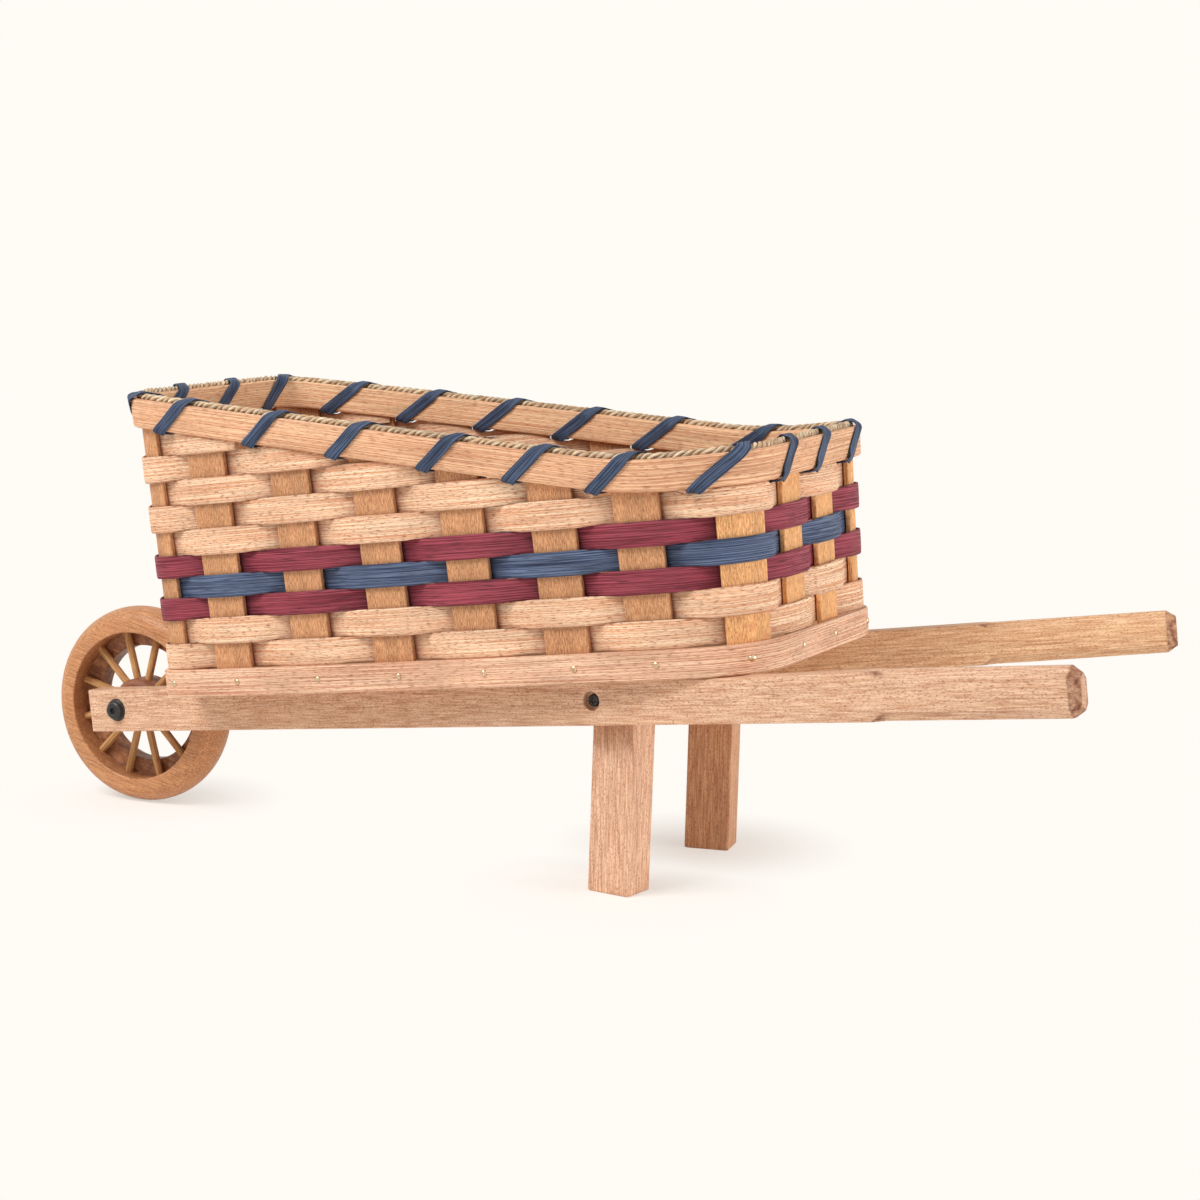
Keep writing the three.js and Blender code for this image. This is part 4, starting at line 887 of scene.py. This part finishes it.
def rail_sections(sign):
    """Sections along the rail: a rectangle, its corners cut by a mix of quarter circle and straight."""
    reach = RAIL_REACH[sign]
    start = reach - HANDLE_LENGTH
    along = np.concatenate([
        [-RAIL_NOSE, -RAIL_NOSE + 0.25, -RAIL_NOSE + 0.8], np.linspace(-20, start - 2, 60),
        np.linspace(start, start + HANDLE_STOP + 3, 26), np.linspace(start + 20, reach - 8, 14),
        reach + END_RUN * np.array([-1.1, -1.0, -0.9, -0.5, -0.1, 0.0]), np.full(2, reach)])
    inset = END_BEVEL * np.clip(1 + (along - reach) / END_RUN, 0, 1)
    inset = inset + 0.8 * np.clip((-RAIL_NOSE + 0.8 - along) / 0.8, 0, 1) ** 2
    inset[-2:] += END_RINGS
    planed = smooth_step((along - start) / HANDLE_STOP)
    cut = EASE + (HANDLE_CUT - EASE) * planed - 0.45 * inset * planed
    height = NOSE_HEIGHT - HANDLE_FALL * (along + RAIL_NOSE)
    grown = smooth_step((along - GROW_FROM) / GROW_OVER)
    lift, drop = HANDLE_LIFT[sign] * grown, HANDLE_DROP[sign] * grown
    angle = np.linspace(0, np.pi / 2, 8)
    arc = np.stack([np.cos(angle) - 1, np.sin(angle) - 1])
    straight = np.stack([-angle / (np.pi / 2), angle / (np.pi / 2) - 1])
    flat_share = 0.97 * planed[:, None]
    cut = np.minimum(cut, 0.9 * (RAIL_THICK / 2 - inset))
    corner = cut[:, None, None] * ((1 - flat_share)[..., None] * arc.T + flat_share[..., None] * straight.T)
    corner = corner[..., 0] + 1j * corner[..., 1]
    half_out = (RAIL_THICK / 2 - inset)[:, None]
    half_high = ((height + lift + drop) / 2 - inset)[:, None]
    sides = [half_out + 1j * half_high, half_high + 1j * half_out] * 2
    outline = np.concatenate([(sides[q] + corner) * 1j**q for q in range(4)], axis=1)
    outward = RAIL_THICK / 2 + outline.real
    high = ((lift - drop - height) / 2)[:, None] + outline.imag
    stain_and_shade = np.broadcast_to(smooth_step((along - reach + END_RUN + 0.6) / 1.2)[:, None], outline.shape).copy()
    stain_and_shade[-2:] = [[0.5], [0.3]]
    facet = np.tile(np.sin(np.linspace(0, np.pi, 8)), 4)[None, :] ** 0.5
    stop = np.exp(-(((along - start - 4.0) / 4.5) ** 2))[:, None] * facet * 0.9
    return rail_to_world(sign, along[:, None], outward, high), np.maximum(stain_and_shade, stop)


print("rail sections:", rail_sections(-1)[0].shape[:2])

# %% Rails with their drillings
SCREW_ALONG, SCREW_DROP, BORE_RADIUS, BORE_FLOOR, BORE_OUT = 371.0, 11.0, 5.3, 10.0, 30.0
SEAT_RADIUS, SEAT_OUT = 7.3, 60.0
CAP_SEAT = RAIL_SPREAD + RAIL_THICK / np.cos(SPLAY) - SEAT_RADIUS * np.tan(SPLAY)
RAIL_COLOURS = {-1: (shade(208, 154, 119), shade(251, 215, 182), shade(138, 84, 58)),
                1: (shade(218, 160, 118), shade(254, 216, 172), shade(150, 94, 60))}


def grain_turn(sign):
    """Two turns that lay X along a splayed and sloping rail: about Y by its rise, then about Z by its splay."""
    rise = -np.arcsin(np.cos(SPLAY) * np.sin(PITCH))
    return (0.0, rise, np.arctan2(sign * np.sin(SPLAY), np.cos(SPLAY) * np.cos(PITCH)))


def drill(piece, points):
    """Take a closed shape out of a piece with a Boolean, keep the result as its mesh, and put the tool away."""
    tool = make_piece("drill", points, piece.data.materials[0])
    cutting = piece.modifiers.new("drilling", "BOOLEAN")
    cutting.object = tool
    cutting.solver = "EXACT"
    bpy.context.view_layer.update()
    seen = piece.evaluated_get(bpy.context.evaluated_depsgraph_get())
    drilled = bpy.data.meshes.new_from_object(seen)
    drilled.set_sharp_from_angle(angle=0.6)
    piece.modifiers.clear()
    piece.data = drilled
    bpy.data.objects.remove(tool)


swing = np.linspace(0, 2 * np.pi, 48, endpoint=False)[None, :]
for name, node, sign in (("rail_near", "rail_left", -1), ("rail_far", "rail_right", 1)):
    wood = wood_finish(f"{name} wood", *RAIL_COLOURS[sign], turn=grain_turn(sign),
                       shift=(0.0, 0.05 * sign, 0.02), pore_share=0.62, silk_share=0.8,
                       stain_and_shade=shade(124, 72, 46))
    points, stain_and_shade = rail_sections(sign)
    rail = make_piece(name, points, wood, nodes=[node], marks={"stain_and_shade": stain_and_shade})
    depth = np.array([BORE_FLOOR, BORE_OUT])[:, None]
    bore_along = SCREW_ALONG + BORE_RADIUS * np.cos(swing)
    drill(rail, rail_to_world(sign, bore_along, depth, -SCREW_DROP + BORE_RADIUS * np.sin(swing)))
    beside = sign * np.array([CAP_SEAT, SEAT_OUT])[:, None]
    seat_x, seat_z = AXLE_X + SEAT_RADIUS * np.cos(swing), AXLE_Z + SEAT_RADIUS * np.sin(swing)
    drill(rail, np.stack(np.broadcast_arrays(seat_x, beside, seat_z), -1))
    print(name, "after drilling:", len(rail.data.polygons), "faces")

# %% [markdown]
# ## Legs
# A leg is a short square post, screwed flat against the inner face of its rail and cut level with the ground.
# Its section is carried from the ground plane to just under the rail's top. The foot has a small bevel, as a
# sawn end that was sanded once round. The far leg is painted darker than the near one: painted shade, for the
# shadow that the basket and the near rail cast on it. Each leg leans a little in its own way.

# %% Legs
LEG_WIDTH, LEG_DEPTH, LEG_EASE = 27.3, 21.5, 1.1
LEG_ALONG, LEG_LEAN = {-1: 378.4, 1: 379.7}, {-1: np.radians(2.2), 1: np.radians(0.6)}


def leg_post(sign):
    """Each point of the section slides along the leg's direction to the ground below and to the top above."""
    angle = sign * SPLAY
    up = np.array([np.cos(angle) * np.sin(PITCH), -np.sin(angle) * np.sin(PITCH), np.cos(PITCH)])
    plumb = np.array([up[0], 0.0, up[2]]) / np.hypot(up[0], up[2])
    tip, stand = np.sin(LEG_LEAN[sign]), np.cos(LEG_LEAN[sign])
    post = np.array([plumb[0] * stand + plumb[2] * tip, 0.0, plumb[2] * stand - plumb[0] * tip])
    width, depth = rounded(LEG_WIDTH / 2, LEG_DEPTH / 2, LEG_EASE)
    rise = np.array([0.0, 0.25, 0.8, 1.6, 60.0, 0.0])[:, None]
    shrink = 1 - np.array([0.07, 0.03, 0.0, 0.0, 0.0, 0.0])[:, None]
    w, d = width[None, :] * shrink, depth[None, :] * shrink - LEG_DEPTH / 2 - PLAY
    along, high = LEG_ALONG[sign] + w * post[2], -w * post[0]
    slide = rise - rail_to_world(sign, along, d, high)[..., 2] / (post @ up)
    slide[-1] = (-PLAY - high[-1]) / post[2]
    return rail_to_world(sign, along + slide * post[0], d, high + slide * post[2])


# The far leg's colours are darker: painted shade for the shadow under the basket.
LEG_COLOURS = {-1: (shade(208, 155, 121), shade(252, 212, 180), shade(138, 82, 56)),
               1: (shade(194, 134, 98), shade(238, 186, 140), shade(128, 72, 46))}
for name, node, sign in (("leg_near", "leg_left", -1), ("leg_far", "leg_right", 1)):
    wood = wood_finish(f"{name} wood", *LEG_COLOURS[sign], turn=(0.0, np.pi / 2, 0.0), shift=(0.0, 0.0, 0.3),
                       pore_share=0.58)
    post = make_piece(name, leg_post(sign), wood, nodes=[node])
    print(name, "foot at", round(min(v.co.z for v in post.data.vertices) / MM, 3), "mm")

# %% [markdown]
# ## Floor of the basket
# The floor is a plain board that rests on the rails. Its solid already has the right outline, so it stays and
# only gets wood, with the grain along the slope.

# %% Floor board
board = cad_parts["base_board"]
BOARD_WOOD = wood_finish("floor wood", shade(200, 152, 106), shade(218, 174, 128), shade(146, 96, 60),
                         turn=(0.0, -PITCH, 0.0), shift=(0.0, 0.01, 0.0))
for place in board.material_slots:
    place.material = BOARD_WOOD
print("floor board slots:", len(board.material_slots))

# %% [markdown]
# ## Wheel
# The wheel's ring was turned on a lathe: a round tread, a flat front, a deep bore and a lip at the back that
# the spokes lie against. So it is a profile turned round the axle. The bore and the lip are painted darker:
# painted shade for the shadow inside the ring. The hub is turned the same way, and twelve dowels go from one
# into the other. Their grain runs along each dowel.

# %% Ring and hub
WHEEL_RADIUS, TREAD_CROWN, RING_HALF, RING_BORE, LIP_BORE, LIP_FACE = 63.5, 10.0, 13.5, 47.5, 37.5, 1.5
BORE_SHADE_RADIUS, BORE_SHADE_EDGE, BORE_SHADE_SHARE, RING_SIDES = 48.2, 13.2, 0.75, 160
HUB_BORE, HUB_RADIUS, HUB_HALF, HUB_BEVEL = 3.45, 17.0, 12.0, 2.5
# The wheel's darker colour for its mark is painted shade, for the shadow in the bore and on the lip.
WHEEL_WOOD = wood_finish("wheel wood", shade(186, 124, 80), shade(232, 174, 124), shade(106, 56, 34),
                         turn=(0.0, 0.25, 0.0), shift=(0.0, 0.0, 0.1), pore_share=0.45, silk_share=0.7,
                         rough=(0.36, 0.5), stain_and_shade=shade(112, 62, 42))


def turned_on_axle(radius, beside, sides):
    """Turn a profile, given as radius and distance beside the wheel's middle, once round the axle."""
    angle = np.linspace(0, 2 * np.pi, sides, endpoint=False)[:, None]
    return np.stack([AXLE_X + radius * np.sin(angle), np.broadcast_to(beside, (sides, len(beside))),
                     AXLE_Z + radius * np.cos(angle)], -1)


swing = np.linspace(-np.pi / 2, np.pi / 2, 41)
shoulder = WHEEL_RADIUS - TREAD_CROWN
tread = np.stack([WHEEL_RADIUS - TREAD_CROWN * (1 - np.cos(swing)), RING_HALF * np.sin(swing)])
inner = soften([(shoulder, -RING_HALF), (shoulder, RING_HALF), (LIP_BORE, RING_HALF), (LIP_BORE, LIP_FACE),
                (RING_BORE, LIP_FACE), (RING_BORE, -RING_HALF)], [0.2, 0.2, 1.0, 0.8, 0.8, 1.0])
inner = inner.reshape(2, 6, 6)[:, 2:].reshape(2, -1)
radius, beside = np.concatenate([tread, inner], axis=1)
# Painted shade: inside the bore and on the lip, but not on the front face, the ring darkens.
bore_shade = smooth_step((BORE_SHADE_RADIUS - radius) / 0.5) * smooth_step((beside + BORE_SHADE_EDGE) / 3) * BORE_SHADE_SHARE
stain_and_shade = np.broadcast_to(bore_shade, (RING_SIDES, len(bore_shade)))
make_piece("wheel_rim", turned_on_axle(radius, beside, RING_SIDES), WHEEL_WOOD, body="wheel",
           nodes=["wheel_ring"], ring=True, marks={"stain_and_shade": stain_and_shade})
HUB_WOOD = wood_finish("hub wood", shade(148, 94, 68), shade(176, 120, 90), shade(92, 54, 36),
                       turn=(0.0, 0.25, 0.0), shift=(0.1, 0.0, 0.0), pore_share=0.35, silk_share=0.55)
face, edge = HUB_RADIUS - HUB_BEVEL, HUB_HALF - HUB_BEVEL
radius, beside = soften([(HUB_BORE, -HUB_HALF), (face, -HUB_HALF), (HUB_RADIUS, -edge), (HUB_RADIUS, edge),
                         (face, HUB_HALF), (HUB_BORE, HUB_HALF)], [0.4, 1.0, 1.0, 1.0, 1.0, 0.4])
make_piece("wheel_middle", turned_on_axle(radius, beside, 96), HUB_WOOD, body="wheel", nodes=["wheel_hub"],
           ring=True)

# %% Spokes
SPOKES, SPOKE_RADIUS, SPOKE_BESIDE = 12, 2.4, -1.9
SPOKE_WOOD = fibre_finish("spoke wood", shade(184, 130, 80), shade(220, 172, 116), shade(128, 78, 44),
                          line=(30.0, 0.8), fleck=(5.0, 0.4), fleck_share=0.5, tone=(0.85, 1.06), relief=0.2)
reach = np.concatenate([[12.0, 12.3, 13.0], np.linspace(14, 51, 12), [51.8, 52.3, 52.5]])
slim = np.concatenate([[0.7, 0.9, 1.0], np.ones(12), [1.0, 0.9, 0.7]]) * SPOKE_RADIUS
swing = np.linspace(0, 2 * np.pi, 24, endpoint=False)
heading = 2 * np.pi * (np.arange(SPOKES) + 0.5)[:, None, None] / SPOKES
sideways = slim[None, :, None] * np.cos(swing)
outwards = reach[None, :, None]
points = np.stack(np.broadcast_arrays(
    AXLE_X + outwards * np.sin(heading) + sideways * np.cos(heading),
    SPOKE_BESIDE + slim[None, :, None] * np.sin(swing),
    AXLE_Z + outwards * np.cos(heading) - sideways * np.sin(heading)), -1)
lay = grid_lay(reach, np.linspace(0, 1, len(swing) + 1) * 2 * np.pi * SPOKE_RADIUS)
lay = lay + np.array([211.0, 37.0]) * np.arange(SPOKES)[:, None, None, None]
make_piece("wheel_spokes", points, SPOKE_WOOD, body="wheel", lay=lay,
           nodes=[f"spoke_{n + 1:02d}" for n in range(SPOKES)])

# %% [markdown]
# ## Bolt, nut and leg screws
# The black bolt has a flat flange and a small cap with a hexagon socket; the same cap sits on the far side.
# A turned profile does the round part. For the socket the rings change from a circle to a hexagon on the way
# in, by a factor that depends on the angle. The leg screws sit in their counterbores: low domes with a
# cross-shaped recess, made by lowering the points near two lines.

# %% Bolt and nut
BLACK = metal_finish("black metal", shade(44, 43, 43), shade(66, 64, 63), 0.4, (0.24, 0.42))
FLANGE, SHANK_CROSS = CAP_SEAT + PLAY, 11.0


def capped(sign, shank_radius, shank_end):
    """Rings of radius, distance and share of hexagon, from the shank over flange and cap into the socket.
    A hexagon's edge is the cosine of 30 degrees over the cosine of the angle from a side's middle."""
    top = FLANGE + 5.0
    rings = np.array([
        (0.02, shank_end, 0), (shank_radius, shank_end, 0), (shank_radius, FLANGE, 0), (6.8, FLANGE, 0),
        (7, FLANGE + 0.25, 0), (7, FLANGE + 1.25, 0), (6.8, FLANGE + 1.55, 0), (6.0, FLANGE + 1.6, 0),
        (5.65, FLANGE + 1.75, 0), (5.6, FLANGE + 2.1, 0), (5.55, top - 1.15, 0), (5.2, top - 0.55, 0),
        (4.5, top - 0.15, 0), (3.6, top, 0), (2.75, top, 0), (2.45, top - 0.05, 0.6),
        (2.3, top - 0.3, 1), (2.25, top - 2.1, 1), (2.0, top - 2.2, 1), (0.02, top - 2.2, 1)])
    angle = np.linspace(0, 2 * np.pi, 60, endpoint=False)
    hexagon = np.cos(np.pi / 6) / np.cos(np.mod(angle, np.pi / 3) - np.pi / 6)
    radius = rings[:, :1] * (1 + rings[:, 2:] * (hexagon - 1))
    return np.stack([AXLE_X + radius * np.cos(angle), np.broadcast_to(sign * rings[:, 1:2], radius.shape),
                     AXLE_Z + radius * np.sin(angle)], -1)


bolt, nut = capped(-1, 3.2, SHANK_CROSS - FLANGE), capped(1, 4.7, FLANGE - SHANK_CROSS)
make_piece("wheel_bolt", bolt, BLACK, nodes=["axle_bolt"])
make_piece("wheel_nut", nut, BLACK, nodes=["axle_nut"])

# %% Leg screws
HEAD_RADIUS, HEAD_RISE, SHANK_RADIUS, RECESS_DEEP = 3.5, 2.6, 2.0, 1.1


def screw_head(sign):
    """Dome over a polar grid, lowered within a set distance of two crossed lines, on a plain tapered shank."""
    angle = np.linspace(0, 2 * np.pi, 64, endpoint=False)
    dome = np.append(0.02, np.linspace(0.25, 3.1, 14))
    radius = np.append(dome, [3.4, HEAD_RADIUS, HEAD_RADIUS, SHANK_RADIUS, SHANK_RADIUS, 0.02])[:, None]
    high = HEAD_RISE - 0.9 * (dome / HEAD_RADIUS) ** 2.4
    high = np.append(high, [1.55, 1.2, 0.0, 0.0, -19.0, -23.0])[:, None]
    x, y = radius * np.cos(angle), radius * np.sin(angle)
    near = np.minimum(np.abs(x), np.abs(y))
    recess = smooth_step((0.75 - near) / 0.3) * smooth_step((2.2 - radius) / 0.5)
    recess[len(dome):] = 0
    depth = BORE_FLOOR + PLAY + high - RECESS_DEEP * recess
    return rail_to_world(sign, SCREW_ALONG + x, depth, -SCREW_DROP + y)


for name, node, sign in (("screw_near", "leg_screw_left", -1), ("screw_far", "leg_screw_right", 1)):
    make_piece(name, screw_head(sign), BLACK, nodes=[node])
